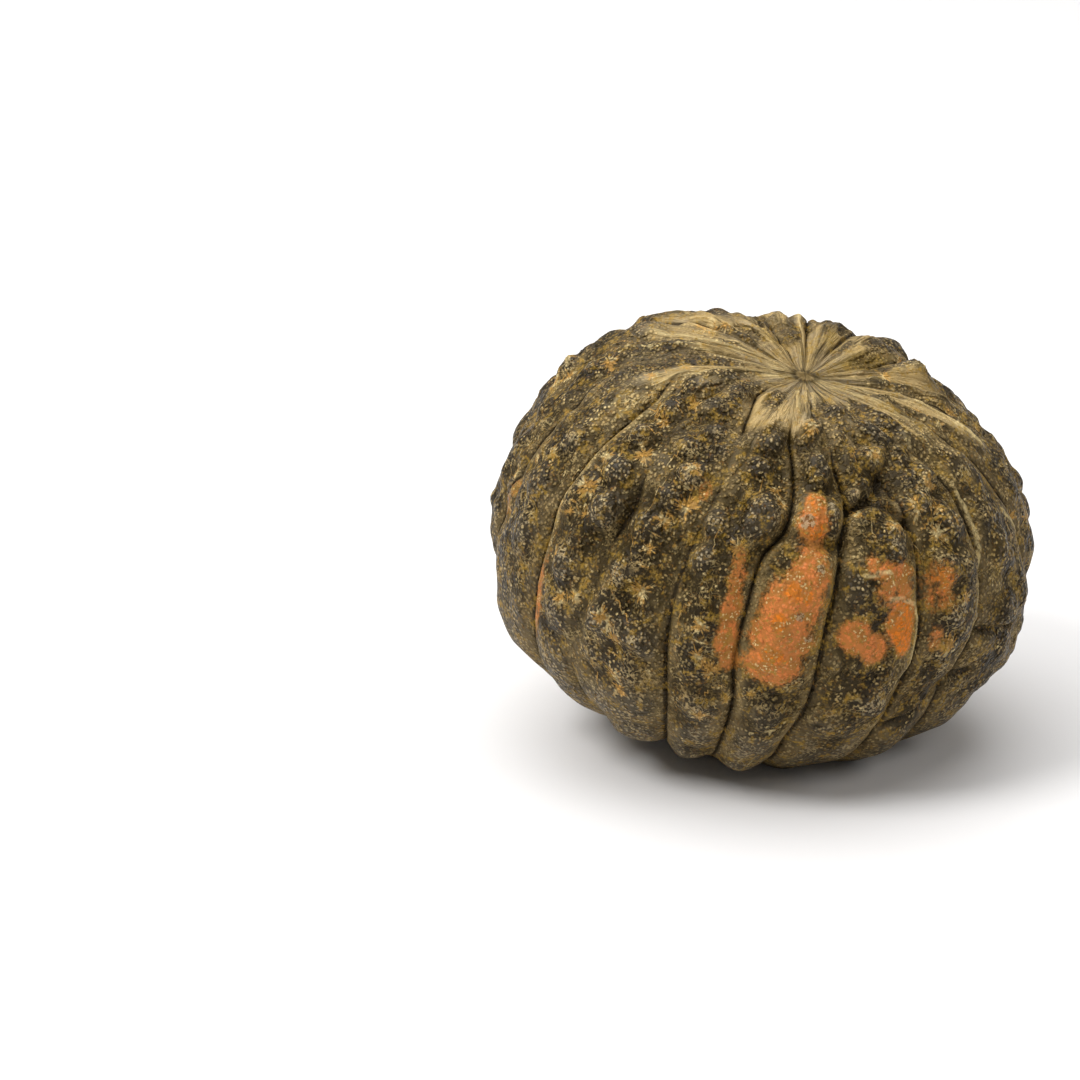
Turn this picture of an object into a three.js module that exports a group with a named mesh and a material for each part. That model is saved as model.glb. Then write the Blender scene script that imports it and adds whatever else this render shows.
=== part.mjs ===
// A whole ribbed pumpkin, a squat old squash with deep bulging lobes. It lies on its stem end, a
// little tilted, so that the blossom end looks up and forward. Millimetres and degrees, +Z up, the
// front at -Y. The fruit is one solid and the dry stub of its stem, cut short, is another.
import * as THREE from "three";

// Driving dimensions of the fruit, along and across its own axis
const BODY_RADIUS = 93.4;
const HALF_HEIGHT = 72.5;
const SQUARENESS = 2.15;
const BLOSSOM_DIMPLE = { depth: 9, radius: 31 };
const STEM_CAVITY = { depth: 13, radius: 18 };
const BLOSSOM_SCAR = { height: 1.4, radius: 2.6 };

// How the fruit lies: its axis leans to the right and to the front, and its weight has pressed a flat
const LEAN = new THREE.Euler(
  THREE.MathUtils.degToRad(9.02),
  THREE.MathUtils.degToRad(12.43),
  THREE.MathUtils.degToRad(-4.8),
  "YXZ",
);
const CENTRE_HEIGHT = 68;
const SAG = { shift: 14, from: 118 };

// Density of the surface grid: columns follow the grooves, rows run from the blossom to the stem
const RIB_COLUMNS = [0, 0.06, 0.2, 0.4, 0.6, 0.8, 0.94];
const POLE_ROWS = [1.4, 3, 5.5, 9, 13];
const ROW_STEP = 4.2;
const LAST_ROW = 177.5;

// Stub of the stem: five-angled and flared where it meets the fruit
const STEM = { radius: 8.2, flare: 3.4, length: 8, angles: 5, angleDepth: 1.1, sides: 40, gap: 0.35 };

// The grooves between the lobes, from the left of the back round the front to the right of the back.
// Each point is: degrees from the blossom end, degrees round from the front, depth, sharpness 0 to 1.
const GROOVES = [
  plainGroove(-156, 4.6, [16, -158, 3.6, 0.8], [28, -158, 4.2, 0.8]),
  plainGroove(-137, 4.0, [36, -131, 3.2, 0.6]),
  plainGroove(-119, 4.2, [50, -122, 3.4, 0.6]),
  plainGroove(-93, 4.2, [38, -99, 2, 0.5], [52, -96, 3.2, 0.6], [70, -91, 4.2, 0.7]),
  plainGroove(-75, 4.4, [30, -84, 1.4, 0.3], [66, -75.5, 4.2, 0.7], [82, -74, 4.4, 0.7]),
  [
    [0, -75, 0.3, 0.2], [25, -66, 1.2, 0.2], [38, -61, 2, 0.3], [46, -56.5, 4.2, 0.7],
    [56, -55, 5.4, 0.9], [70, -54, 5.6, 0.9], [86, -52.3, 5.4, 0.9], [97, -51.5, 4.8, 0.9],
    [120, -52, 4.2, 0.7], [150, -52, 3.4, 0.6], [180, -52, 1, 0.5],
  ],
  [
    [0, -56, 0.2, 0.2], [30, -46, 0.8, 0.2], [45, -40, 1.4, 0.2], [57, -38, 1.7, 0.2],
    [67, -35.5, 3, 0.5], [80, -36, 1.6, 0.2], [105, -37.5, 1.3, 0.3], [117, -37, 2.8, 0.7],
    [124, -33, 3.2, 0.7], [150, -33, 3, 0.6], [180, -33, 1, 0.5],
  ],
  [
    [0, -40, 0.4, 0.3], [14, -36, 1.5, 0.5], [22, -32, 3.8, 0.8], [30, -25.5, 4.2, 0.85],
    [36, -22.5, 3.4, 0.8], [42, -20, 1.5, 0.3], [55, -18, 2.2, 0.2], [70, -18, 2.5, 0.25],
    [80, -17.8, 3.2, 0.4], [90, -16.5, 4.4, 0.75], [100, -14.7, 5, 0.8], [112, -13.5, 5, 0.8],
    [150, -13.5, 3.8, 0.7], [180, -13.5, 1, 0.5],
  ],
  [
    [0, -12, 0.3, 0.3], [20, -6, 0.7, 0.3], [30, -4, 1.4, 0.4], [36, -3, 4.4, 0.9], [45, 1, 4.6, 0.9],
    [52, 2.5, 5.4, 0.9], [60, 1.6, 5.6, 0.9], [66, -2, 5.6, 0.9], [77, -2.5, 5.6, 0.9],
    [90, -2, 5.4, 0.85], [100, 0, 5.2, 0.85], [118, 0.5, 5, 0.8], [150, 0.5, 3.8, 0.7],
    [180, 0.5, 1, 0.5],
  ],
  [
    [0, 12, 0.3, 0.3], [20, 13, 0.7, 0.3], [34, 14, 1.4, 0.4], [42, 15.3, 3.6, 0.7],
    [51, 18, 5, 0.85], [60, 16.5, 5.8, 0.9], [70, 15.7, 6, 0.9], [82, 15.3, 6, 0.9],
    [96, 15.9, 5.6, 0.85], [110, 15.3, 5.2, 0.8], [150, 15.3, 4, 0.7], [180, 15.3, 1, 0.5],
  ],
  [
    [0, 28, 0.2, 0.2], [17, 25, 0.6, 0.2], [30, 28, 1, 0.2], [44, 32, 2.4, 0.4], [54, 36, 4.2, 0.8],
    [61, 37.7, 5.2, 0.9], [70, 37.3, 5.4, 0.9], [80, 38.3, 5.2, 0.85], [90, 37.7, 5, 0.8],
    [110, 37, 5, 0.8], [150, 37, 3.8, 0.7], [180, 37, 1, 0.5],
  ],
  [
    [0, 42, 0.4, 0.2], [17, 37, 1.6, 0.4], [28, 42, 2, 0.5], [38, 50, 2.4, 0.5], [46, 57, 3.2, 0.6],
    [60, 58.5, 4.8, 0.85], [76, 57, 5.4, 0.9], [90, 55.5, 5, 0.85], [100, 54, 3.6, 0.6],
    [120, 56, 4.2, 0.7], [150, 56, 3.4, 0.7], [180, 56, 1, 0.5],
  ],
  [
    [0, 62, 0.3, 0.2], [20, 66, 1.2, 0.3], [36, 72, 2.4, 0.5], [48, 79, 3, 0.5], [60, 81, 3.8, 0.7],
    [72, 82, 4.4, 0.8], [90, 79, 4.6, 0.8], [120, 77, 4.2, 0.7], [150, 76, 3.4, 0.7], [180, 76, 1, 0.5],
  ],
  plainGroove(98, 4.2, [34, 98, 2.6, 0.6], [56, 100, 3.4, 0.6]),
  plainGroove(118, 4.2, [35, 111, 3, 0.8], [41, 113, 3.4, 0.8], [58, 112, 3.6, 0.6]),
  plainGroove(139, 4.4, [30, 130.5, 3.2, 0.8], [38, 134, 3.8, 0.85], [46, 138, 3.8, 0.8]),
  plainGroove(161, 4.2, [36, 161, 3.4, 0.7]),
  plainGroove(180, 4.8, [18, 182, 2.8, 0.7], [33, 181, 4.6, 0.85]),
];

// Short creases where one lobe folds over another: the course as [from blossom end, round], depth, width
const CREASES = [
  { course: [[53, 19], [50, 25], [47.5, 29], [44, 32]], depth: 2.6, width: 2.2 },
  { course: [[60.5, 3], [62, 9], [60.5, 15]], depth: 1.8, width: 2.4 },
  { course: [[95, 60], [96, 54], [100, 50.5], [103, 45], [107, 38]], depth: 2.6, width: 2.4 },
  { course: [[83, 56.5], [85.5, 65.5], [86, 71]], depth: 2, width: 2.2 },
  { course: [[38, -26], [39, -22], [37, -19]], depth: 1.6, width: 2 },
  { course: [[47, 2], [46, 8], [42, 12]], depth: 1.4, width: 2 },
];

// Lobes that bulge out of the ribs: where, half their length and half their breadth, and how high
const LOBES = [
  { from: 33, round: 5, long: 5, wide: 4.5, high: 1.8 },
  { from: 45, round: 8.5, long: 7.5, wide: 6, high: 2 },
  { from: 55.5, round: 9.5, long: 7, wide: 9, high: 2.2 },
  { from: 66, round: 27, long: 15, wide: 13, high: 2.4 },
  { from: 84, round: 33, long: 15, wide: 6, high: 1.6 },
  { from: 77, round: 6.5, long: 19, wide: 10, high: 1.4 },
  { from: 74, round: -9.5, long: 20, wide: 8.5, high: 1.2 },
  { from: 70, round: 48, long: 17, wide: 12, high: 1.4 },
  { from: 96, round: 25, long: 12, wide: 12, high: 1.2 },
  { from: 106, round: 8, long: 12, wide: 9, high: 1.4 },
  { from: 36, round: 121, long: 7, wide: 9, high: 1.8 },
  { from: 66, round: -45, long: 18, wide: 11, high: 1 },
];

// Broad swellings that make the whole fruit a little lopsided: where, how wide in degrees, how high
const SWELLINGS = [
  { from: 117, round: -62, spread: 10, high: 3.4 },
  { from: 120, round: -40, spread: 30, high: 1.5 },
  { from: 95, round: 77, spread: 10, high: 3.2 },
  { from: 72, round: 93, spread: 12, high: 1.6 },
  { from: 42, round: 155, spread: 14, high: 2.8 },
  { from: 60, round: -112, spread: 16, high: 1.6 },
  { from: 70, round: -93, spread: 10, high: -2.4 },
  { from: 99, round: 52, spread: 11, high: -4.2 },
  { from: 114, round: 19, spread: 7, high: -2.6 },
  { from: 62, round: 104, spread: 10, high: 1.6 },
];

// Low blisters scattered over the skin by a seeded draw
const BLISTERS = { seed: 7, count: 150, smallest: 4.6, largest: 7.5, lowest: 0.5, highest: 1.6 };

const RIND = { color: 0x5a503c, roughness: 0.72, metalness: 0 };
const DRY_STEM = { color: 0x8a744e, roughness: 0.85, metalness: 0 };

const radians = THREE.MathUtils.degToRad;
const smoothstep = THREE.MathUtils.smoothstep;

// A groove of the sides or the back: shallow at both poles, with extra points where its course is known
function plainGroove(round, depth, ...known) {
  const first = known.length ? known[0][1] : round;
  const start = [[0, first, 0.3, 0.3]];
  const middle = [[90, round, depth, 0.7], [130, round, depth * 0.95, 0.7]];
  const end = [[155, round, 3.2, 0.6], [180, round, 1, 0.5]];
  const upper = known.length ? known : [[25, round, depth * 0.45, 0.5], [50, round, depth * 0.85, 0.6]];
  return [...start, ...upper, ...middle, ...end];
}

// One value of a groove (1 its place round, 2 its depth, 3 its sharpness) at an angle from the blossom
// end, by a smooth curve through the groove's points
function along(groove, value, from) {
  const last = groove.length - 1;
  const slope = (i) => {
    const a = groove[Math.max(i - 1, 0)];
    const b = groove[Math.min(i + 1, last)];
    return (b[value] - a[value]) / (b[0] - a[0]);
  };
  const i = Math.max(0, Math.min(last - 1, groove.findLastIndex((point) => point[0] <= from)));
  const step = groove[i + 1][0] - groove[i][0];
  const t = (from - groove[i][0]) / step;
  const rise = groove[i + 1][value] - groove[i][value];
  const early = slope(i) * step - rise;
  const late = rise - slope(i + 1) * step;
  return groove[i][value] + rise * t + t * (1 - t) * (early * (1 - t) + late * t);
}

// A repeatable source of random numbers between 0 and 1
function randomSource(seed) {
  let state = seed;
  return () => {
    state = (state + 0x6d2b79f5) | 0;
    let t = Math.imul(state ^ (state >>> 15), 1 | state);
    t = (t + Math.imul(t ^ (t >>> 7), 61 | t)) ^ t;
    return ((t ^ (t >>> 14)) >>> 0) / 4294967296;
  };
}

// Unit direction of a place on the fruit, as seen from its middle
function direction(from, round) {
  const v = radians(from);
  const u = radians(round);
  return new THREE.Vector3(Math.sin(v) * Math.sin(u), -Math.sin(v) * Math.cos(u), Math.cos(v));
}

// The smooth fruit without its ribs: distance from the axis and height, by angle from the blossom end
function profile(from) {
  const s = Math.sin(radians(from));
  const c = Math.cos(radians(from));
  const round = Math.abs(s / BODY_RADIUS) ** SQUARENESS + Math.abs(c / HALF_HEIGHT) ** SQUARENESS;
  const reach = round ** (-1 / SQUARENESS);
  const radius = reach * s;
  const hollow = c > 0 ? BLOSSOM_DIMPLE : STEM_CAVITY;
  const pressed = hollow.depth * Math.exp(-((radius / hollow.radius) ** 2));
  return { radius, height: reach * c - Math.sign(c) * pressed };
}

// Which way the smooth fruit faces there, across and along its axis
function facing(from) {
  const a = profile(from - 0.05);
  const b = profile(from + 0.05);
  const length = Math.hypot(b.radius - a.radius, b.height - a.height);
  return { across: (a.height - b.height) / length, along: (b.radius - a.radius) / length };
}

// Cross-section of a rib: 0 at its groove and 1 at its crest, a round arch if the groove is sharp
function arch(x, sharpness) {
  const round = Math.sqrt(1 - (1 - x) ** 2);
  const soft = Math.sin((x * Math.PI) / 2) ** 2;
  return sharpness * round + (1 - sharpness) * soft;
}

// Distance in millimetres over the skin between two places that are close together
function skinOffset(from, round, place) {
  const turn = ((((round - place.round) % 360) + 540) % 360) - 180;
  return {
    across: radians(turn) * profile(from).radius,
    along: radians(from - place.from) * ((BODY_RADIUS + HALF_HEIGHT) / 2),
  };
}

// Depth of the short creases at a place
function creaseDepth(from, round) {
  let deepest = 0;
  for (const crease of CREASES) {
    let nearest = Infinity;
    for (let i = 0; i + 1 < crease.course.length; i++) {
      const [startFrom, startRound] = crease.course[i];
      const [endFrom, endRound] = crease.course[i + 1];
      const a = skinOffset(startFrom, startRound, { from, round });
      const b = skinOffset(endFrom, endRound, { from, round });
      const dx = b.across - a.across;
      const dy = b.along - a.along;
      const t = Math.min(1, Math.max(0, -(a.across * dx + a.along * dy) / (dx * dx + dy * dy)));
      nearest = Math.min(nearest, Math.hypot(a.across + t * dx, a.along + t * dy));
    }
    deepest = Math.max(deepest, crease.depth * Math.exp(-((nearest / crease.width) ** 2)));
  }
  return deepest;
}

// Height of the lobes: flat-topped pillows with steep sides
function lobeHeight(from, round) {
  let height = 0;
  for (const lobe of LOBES) {
    const offset = skinOffset(from, round, lobe);
    const reach = (offset.across / lobe.wide) ** 2 + (offset.along / lobe.long) ** 2;
    height += lobe.high * Math.exp(-(reach ** 2));
  }
  return height;
}

// Height of the broad swellings
function swellingHeight(from, round) {
  const here = direction(from, round);
  let height = 0;
  for (const swelling of SWELLINGS) {
    const apart = THREE.MathUtils.radToDeg(here.angleTo(direction(swelling.from, swelling.round)));
    height += swelling.high * Math.exp(-0.5 * (apart / swelling.spread) ** 2);
  }
  return height;
}

function scatterBlisters() {
  const random = randomSource(BLISTERS.seed);
  const blisters = [];
  for (let i = 0; i < BLISTERS.count; i++) {
    const from = THREE.MathUtils.radToDeg(Math.acos(1 - 2 * random()));
    const round = 360 * random() - 180;
    const radius = THREE.MathUtils.lerp(BLISTERS.smallest, BLISTERS.largest, random());
    const high = THREE.MathUtils.lerp(BLISTERS.lowest, BLISTERS.highest, random());
    blisters.push({ place: direction(from, round), radius, high });
  }
  return blisters;
}

const blisters = scatterBlisters();

function blisterHeight(from, round) {
  const here = direction(from, round);
  const arm = (BODY_RADIUS + HALF_HEIGHT) / 2;
  let height = 0;
  for (const blister of blisters) {
    const apart = here.distanceTo(blister.place) * arm;
    height += blister.high * Math.exp(-((apart / blister.radius) ** 2));
  }
  return height;
}

// Nothing but the rib's own relief reaches into the two poles
function awayFromPoles(from) {
  return smoothstep(from, 6, 22) * (1 - smoothstep(from, 150, 168));
}

const turnBack = new THREE.Quaternion().setFromEuler(LEAN).invert();
const upInFruit = new THREE.Vector3(0, 0, 1).applyQuaternion(turnBack);
const sagWay = new THREE.Vector3(upInFruit.x, upInFruit.y, 0).normalize();

// A place on the skin in the fruit's own frame, with the rib's relief given
function skinPoint(from, round, relief) {
  const { radius, height } = profile(from);
  const face = facing(from);
  const scar = BLOSSOM_SCAR.height * Math.exp(-((radius / BLOSSOM_SCAR.radius) ** 2)) * (from < 90);
  const small = lobeHeight(from, round) + blisterHeight(from, round) - creaseDepth(from, round);
  const out = relief + scar + (small + swellingHeight(from, round)) * awayFromPoles(from);
  const across = radius + face.across * out;
  const u = radians(round);
  const point = new THREE.Vector3(across * Math.sin(u), -across * Math.cos(u), height + face.along * out);
  return point.addScaledVector(sagWay, SAG.shift * smoothstep(from, SAG.from, 180));
}

// From the fruit's own frame to the ground it lies on, with what would sink into the ground pressed flat
function lieDown(point) {
  const placed = point.clone().applyEuler(LEAN);
  placed.z = Math.max(0, placed.z + CENTRE_HEIGHT);
  return placed;
}

// One row of the fruit's grid: the columns sit at fixed shares of the way from each groove to the next
function skinRow(from) {
  const row = [];
  GROOVES.forEach((groove, i) => {
    const next = GROOVES[(i + 1) % GROOVES.length];
    const start = along(groove, 1, from);
    const end = along(next, 1, from) + (i + 1 === GROOVES.length ? 360 : 0);
    for (const share of RIB_COLUMNS) {
      const near = share < 0.5 ? groove : next;
      const x = 1 - Math.abs(1 - 2 * share);
      const relief = -along(near, 2, from) * (1 - arch(x, along(near, 3, from)));
      row.push(skinPoint(from, start + share * (end - start), relief));
    }
  });
  return row;
}

// A closed solid from rings of equal count, with a point at each end, faces outward
function solidOfRings(first, rings, last) {
  const count = rings[0].length;
  const points = [first, ...rings.flat(), last];
  const end = points.length - 1;
  const at = (ring, side) => 1 + ring * count + (side % count);
  const faces = [];
  for (let side = 0; side < count; side++) {
    faces.push(0, at(0, side), at(0, side + 1));
    for (let ring = 0; ring + 1 < rings.length; ring++) {
      faces.push(at(ring, side), at(ring + 1, side), at(ring, side + 1));
      faces.push(at(ring, side + 1), at(ring + 1, side), at(ring + 1, side + 1));
    }
    faces.push(end, at(rings.length - 1, side + 1), at(rings.length - 1, side));
  }
  const geometry = new THREE.BufferGeometry().setFromPoints(points);
  geometry.setIndex(faces);
  geometry.computeVertexNormals();
  return geometry;
}

// The fruit: every row from the blossom scar down into the stem cavity
function fruitGeometry() {
  const rows = [...POLE_ROWS];
  const start = POLE_ROWS[POLE_ROWS.length - 1];
  const steps = Math.round((LAST_ROW - start) / ROW_STEP);
  for (let i = 1; i <= steps; i++) {
    rows.push(start + ((LAST_ROW - start) * i) / steps);
  }
  const rings = rows.map((from) => skinRow(from).map(lieDown));
  const blossom = lieDown(skinPoint(0, 0, 0));
  const stemEnd = lieDown(skinPoint(180, 0, 0));
  return solidOfRings(blossom, rings, stemEnd);
}

// The stem stub: its upper face follows the floor of the stem cavity, and its lower face is the cut
function stemGeometry() {
  const ringAt = (radius, height) => {
    const ring = [];
    for (let i = 0; i < STEM.sides; i++) {
      const u = (2 * Math.PI * i) / STEM.sides;
      const between = 1 - Math.abs(Math.cos((STEM.angles * u) / 2));
      const angled = radius * (1 - (STEM.angleDepth / STEM.radius) * between);
      ring.push(new THREE.Vector3(angled * Math.sin(u), -angled * Math.cos(u), height(angled)));
    }
    return ring;
  };
  const roof = (radius) => cavityHeight(radius) - STEM.gap;
  const root = STEM.radius + STEM.flare;
  const cut = roof(0) - STEM.length;
  const level = (share) => () => roof(root) + (cut - roof(root)) * share;
  const rings = [
    ringAt(root * 0.4, roof),
    ringAt(root * 0.75, roof),
    ringAt(root, roof),
    ringAt(STEM.radius + STEM.flare * 0.35, level(0.3)),
    ringAt(STEM.radius, level(0.7)),
    ringAt(STEM.radius * 0.96, level(1)),
    ringAt(STEM.radius * 0.5, () => cut + 0.5),
  ];
  const top = new THREE.Vector3(0, 0, roof(0));
  const bottom = new THREE.Vector3(0, 0, cut + 0.8);
  const place = (point) => lieDown(point.addScaledVector(sagWay, SAG.shift));
  return solidOfRings(place(top), rings.map((ring) => ring.map(place)), place(bottom));
}

// Height of the lowest skin of the stem cavity at a distance from its middle
function cavityHeight(radius) {
  const reach = 1 - (radius / BODY_RADIUS) ** SQUARENESS;
  const dome = HALF_HEIGHT * reach ** (1 / SQUARENESS);
  return STEM_CAVITY.depth * Math.exp(-((radius / STEM_CAVITY.radius) ** 2)) - dome;
}

function fruit() {
  const mesh = new THREE.Mesh(fruitGeometry(), new THREE.MeshStandardMaterial(RIND));
  mesh.name = "fruit";
  return mesh;
}

function stem() {
  const mesh = new THREE.Mesh(stemGeometry(), new THREE.MeshStandardMaterial(DRY_STEM));
  mesh.name = "stem";
  return mesh;
}

// The pumpkin stands with the middle of its footprint box at the origin
const pumpkin = new THREE.Group();
pumpkin.add(fruit(), stem());
const box = new THREE.Box3().setFromObject(pumpkin);
pumpkin.position.set(-(box.min.x + box.max.x) / 2, -(box.min.y + box.max.y) / 2, 0);

export default pumpkin;
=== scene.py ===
"""A whole ribbed pumpkin, blistered and dusty, lying tilted on its stem end on a pale table.

The skin is a fine mesh made by the same formulas as the solid it covers, with the small folds, warts
and wrinkles added. Lengths are millimetres and angles degrees, but the floor and lamps are in metres.
"""

import math
from types import SimpleNamespace

import bpy
import numpy as np
from mathutils import Euler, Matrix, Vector
from mathutils.kdtree import KDTree


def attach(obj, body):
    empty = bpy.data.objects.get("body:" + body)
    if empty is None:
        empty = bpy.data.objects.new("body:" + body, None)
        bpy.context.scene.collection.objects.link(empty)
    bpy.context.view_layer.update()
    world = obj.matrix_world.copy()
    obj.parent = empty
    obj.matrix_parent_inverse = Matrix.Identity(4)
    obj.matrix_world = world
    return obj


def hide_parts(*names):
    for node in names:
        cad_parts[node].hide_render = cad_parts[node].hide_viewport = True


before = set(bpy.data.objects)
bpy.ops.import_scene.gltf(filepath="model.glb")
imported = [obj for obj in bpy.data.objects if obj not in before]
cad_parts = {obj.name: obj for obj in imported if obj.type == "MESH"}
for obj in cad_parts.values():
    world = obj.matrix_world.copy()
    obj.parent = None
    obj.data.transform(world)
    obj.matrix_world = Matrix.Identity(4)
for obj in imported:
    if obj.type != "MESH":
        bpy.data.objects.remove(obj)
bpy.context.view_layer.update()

# The fruit along and across its own axis
BODY_RADIUS = 93.4
HALF_HEIGHT = 72.5
SQUARENESS = 2.15
BLOSSOM_DIMPLE = (9, 31)  # depth, radius
STEM_CAVITY = (13, 18)
BLOSSOM_SCAR = (1.4, 2.6)

# How it lies
LEAN = Euler((math.radians(9.02), math.radians(12.43), math.radians(-4.8)), "ZXY")
CENTRE_HEIGHT = 68
SAG_SHIFT = 14
SAG_FROM = 118

# The dry stub of the stem, five-angled and flared at its root
STEM_RADIUS = 8.2
STEM_FLARE = 3.4
STEM_LENGTH = 8
STEM_ANGLES = 5
STEM_ANGLE_DEPTH = 1.1
STEM_GAP = 0.35
STEM_FLARE_END = 0.7  # the share of its length over which the root narrows
STEM_TAPER = 0.05
STEM_RIDGES = (0.3, 0.16)  # height of the broad ones and the fine ones
STEM_CUT = (0.2, 0.8, 0.25)  # how far its rim stands up, its middle above that, and its grain
STEM_SIDES = 160
STEM_ROOT_RINGS = 8
STEM_SIDE_RINGS = 36
STEM_CUT_RINGS = 16

# The solid's own grid, used once to place the skin exactly over it
SOLID_SHARES = (0, 0.06, 0.2, 0.4, 0.6, 0.8, 0.94)
SOLID_POLE_ROWS = (1.4, 3, 5.5, 9, 13)
SOLID_ROW_STEP = 4.2
LAST_ROW = 177.5

# The skin's grid
SKIN_COLUMNS = 30
SKIN_ROWS = 184
POLE_GAP = 0.5
BELT_ROWS = (14, 112)  # rows lie closer together between these
BELT_CROWDING = 1.5

# Camera: the photograph's viewing angle, the fruit's middle where the photograph has it
PHOTO_SIZE = 1080
MM_PER_PIXEL = 0.35
CAMERA_DISTANCE = 1150
CAMERA_DROP = 20
FRUIT_PIXEL = (759, 536)
SENSOR_WIDTH = 36

# Floor and lamps, in metres and watts. Each lamp: name, place, breadth, power
FLOOR_HALF = 4
LAMP_AIM = (0, 0, 0.06)
LAMPS = (
    ("top", (-0.3, 0.7, 2.2), 3.8, 79),
    ("left", (-1.3, -0.6, 1.7), 0.9, 30),
    ("right", (1.7, -0.8, 1.6), 1.4, 11),
)
SKY_STRENGTH = 0.2


def plain_groove(turn, depth, *known):
    """A groove of the sides or the back, with extra points where its course is known."""
    first = known[0][1] if known else turn
    upper = known or ((25, turn, depth * 0.45, 0.5), (50, turn, depth * 0.85, 0.6))
    middle = ((90, turn, depth, 0.7), (130, turn, depth * 0.95, 0.7))
    end = ((155, turn, 3.2, 0.6), (180, turn, 1, 0.5))
    return ((0, first, 0.3, 0.3), *upper, *middle, *end)


# Grooves from the left of the back round the front to the right of the back. Each point is: degrees
# from the blossom end, degrees round from the front, depth, sharpness from 0 to 1.
GROOVES = (
    plain_groove(-156, 4.6, (16, -158, 3.6, 0.8), (28, -158, 4.2, 0.8)),
    plain_groove(-137, 4.0, (36, -131, 3.2, 0.6)),
    plain_groove(-119, 4.2, (50, -122, 3.4, 0.6)),
    plain_groove(-93, 4.2, (38, -99, 2, 0.5), (52, -96, 3.2, 0.6), (70, -91, 4.2, 0.7)),
    plain_groove(-75, 4.4, (30, -84, 1.4, 0.3), (66, -75.5, 4.2, 0.7), (82, -74, 4.4, 0.7)),
    (
        (0, -75, 0.3, 0.2), (25, -66, 1.2, 0.2), (38, -61, 2, 0.3), (46, -56.5, 4.2, 0.7),
        (56, -55, 5.4, 0.9), (70, -54, 5.6, 0.9), (86, -52.3, 5.4, 0.9), (97, -51.5, 4.8, 0.9),
        (120, -52, 4.2, 0.7), (150, -52, 3.4, 0.6), (180, -52, 1, 0.5),
    ),
    (
        (0, -56, 0.2, 0.2), (30, -46, 0.8, 0.2), (45, -40, 1.4, 0.2), (57, -38, 1.7, 0.2),
        (67, -35.5, 3, 0.5), (80, -36, 1.6, 0.2), (105, -37.5, 1.3, 0.3), (117, -37, 2.8, 0.7),
        (124, -33, 3.2, 0.7), (150, -33, 3, 0.6), (180, -33, 1, 0.5),
    ),
    (
        (0, -40, 0.4, 0.3), (14, -36, 1.5, 0.5), (22, -32, 3.8, 0.8), (30, -25.5, 4.2, 0.85),
        (36, -22.5, 3.4, 0.8), (42, -20, 1.5, 0.3), (55, -18, 2.2, 0.2), (70, -18, 2.5, 0.25),
        (80, -17.8, 3.2, 0.4), (90, -16.5, 4.4, 0.75), (100, -14.7, 5, 0.8), (112, -13.5, 5, 0.8),
        (150, -13.5, 3.8, 0.7), (180, -13.5, 1, 0.5),
    ),
    (
        (0, -12, 0.3, 0.3), (20, -6, 0.7, 0.3), (30, -4, 1.4, 0.4), (36, -3, 4.4, 0.9),
        (45, 1, 4.6, 0.9), (52, 2.5, 5.4, 0.9), (60, 1.6, 5.6, 0.9), (66, -2, 5.6, 0.9),
        (77, -2.5, 5.6, 0.9), (90, -2, 5.4, 0.85), (100, 0, 5.2, 0.85), (118, 0.5, 5, 0.8),
        (150, 0.5, 3.8, 0.7), (180, 0.5, 1, 0.5),
    ),
    (
        (0, 12, 0.3, 0.3), (20, 13, 0.7, 0.3), (34, 14, 1.4, 0.4), (42, 15.3, 3.6, 0.7),
        (51, 18, 5, 0.85), (60, 16.5, 5.8, 0.9), (70, 15.7, 6, 0.9), (82, 15.3, 6, 0.9),
        (96, 15.9, 5.6, 0.85), (110, 15.3, 5.2, 0.8), (150, 15.3, 4, 0.7), (180, 15.3, 1, 0.5),
    ),
    (
        (0, 28, 0.2, 0.2), (17, 25, 0.6, 0.2), (30, 28, 1, 0.2), (44, 32, 2.4, 0.4),
        (54, 36, 4.2, 0.8), (61, 37.7, 5.2, 0.9), (70, 37.3, 5.4, 0.9), (80, 38.3, 5.2, 0.85),
        (90, 37.7, 5, 0.8), (110, 37, 5, 0.8), (150, 37, 3.8, 0.7), (180, 37, 1, 0.5),
    ),
    (
        (0, 42, 0.4, 0.2), (17, 37, 1.6, 0.4), (28, 42, 2, 0.5), (38, 50, 2.4, 0.5),
        (46, 57, 3.2, 0.6), (60, 58.5, 4.8, 0.85), (76, 57, 5.4, 0.9), (90, 55.5, 5, 0.85),
        (100, 54, 3.6, 0.6), (120, 56, 4.2, 0.7), (150, 56, 3.4, 0.7), (180, 56, 1, 0.5),
    ),
    (
        (0, 62, 0.3, 0.2), (20, 66, 1.2, 0.3), (36, 72, 2.4, 0.5), (48, 79, 3, 0.5),
        (60, 81, 3.8, 0.7), (72, 82, 4.4, 0.8), (90, 79, 4.6, 0.8), (120, 77, 4.2, 0.7),
        (150, 76, 3.4, 0.7), (180, 76, 1, 0.5),
    ),
    plain_groove(98, 4.2, (34, 98, 2.6, 0.6), (56, 100, 3.4, 0.6)),
    plain_groove(118, 4.2, (35, 111, 3, 0.8), (41, 113, 3.4, 0.8), (58, 112, 3.6, 0.6)),
    plain_groove(139, 4.4, (30, 130.5, 3.2, 0.8), (38, 134, 3.8, 0.85), (46, 138, 3.8, 0.8)),
    plain_groove(161, 4.2, (36, 161, 3.4, 0.7)),
    plain_groove(180, 4.8, (18, 182, 2.8, 0.7), (33, 181, 4.6, 0.85)),
)

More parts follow.
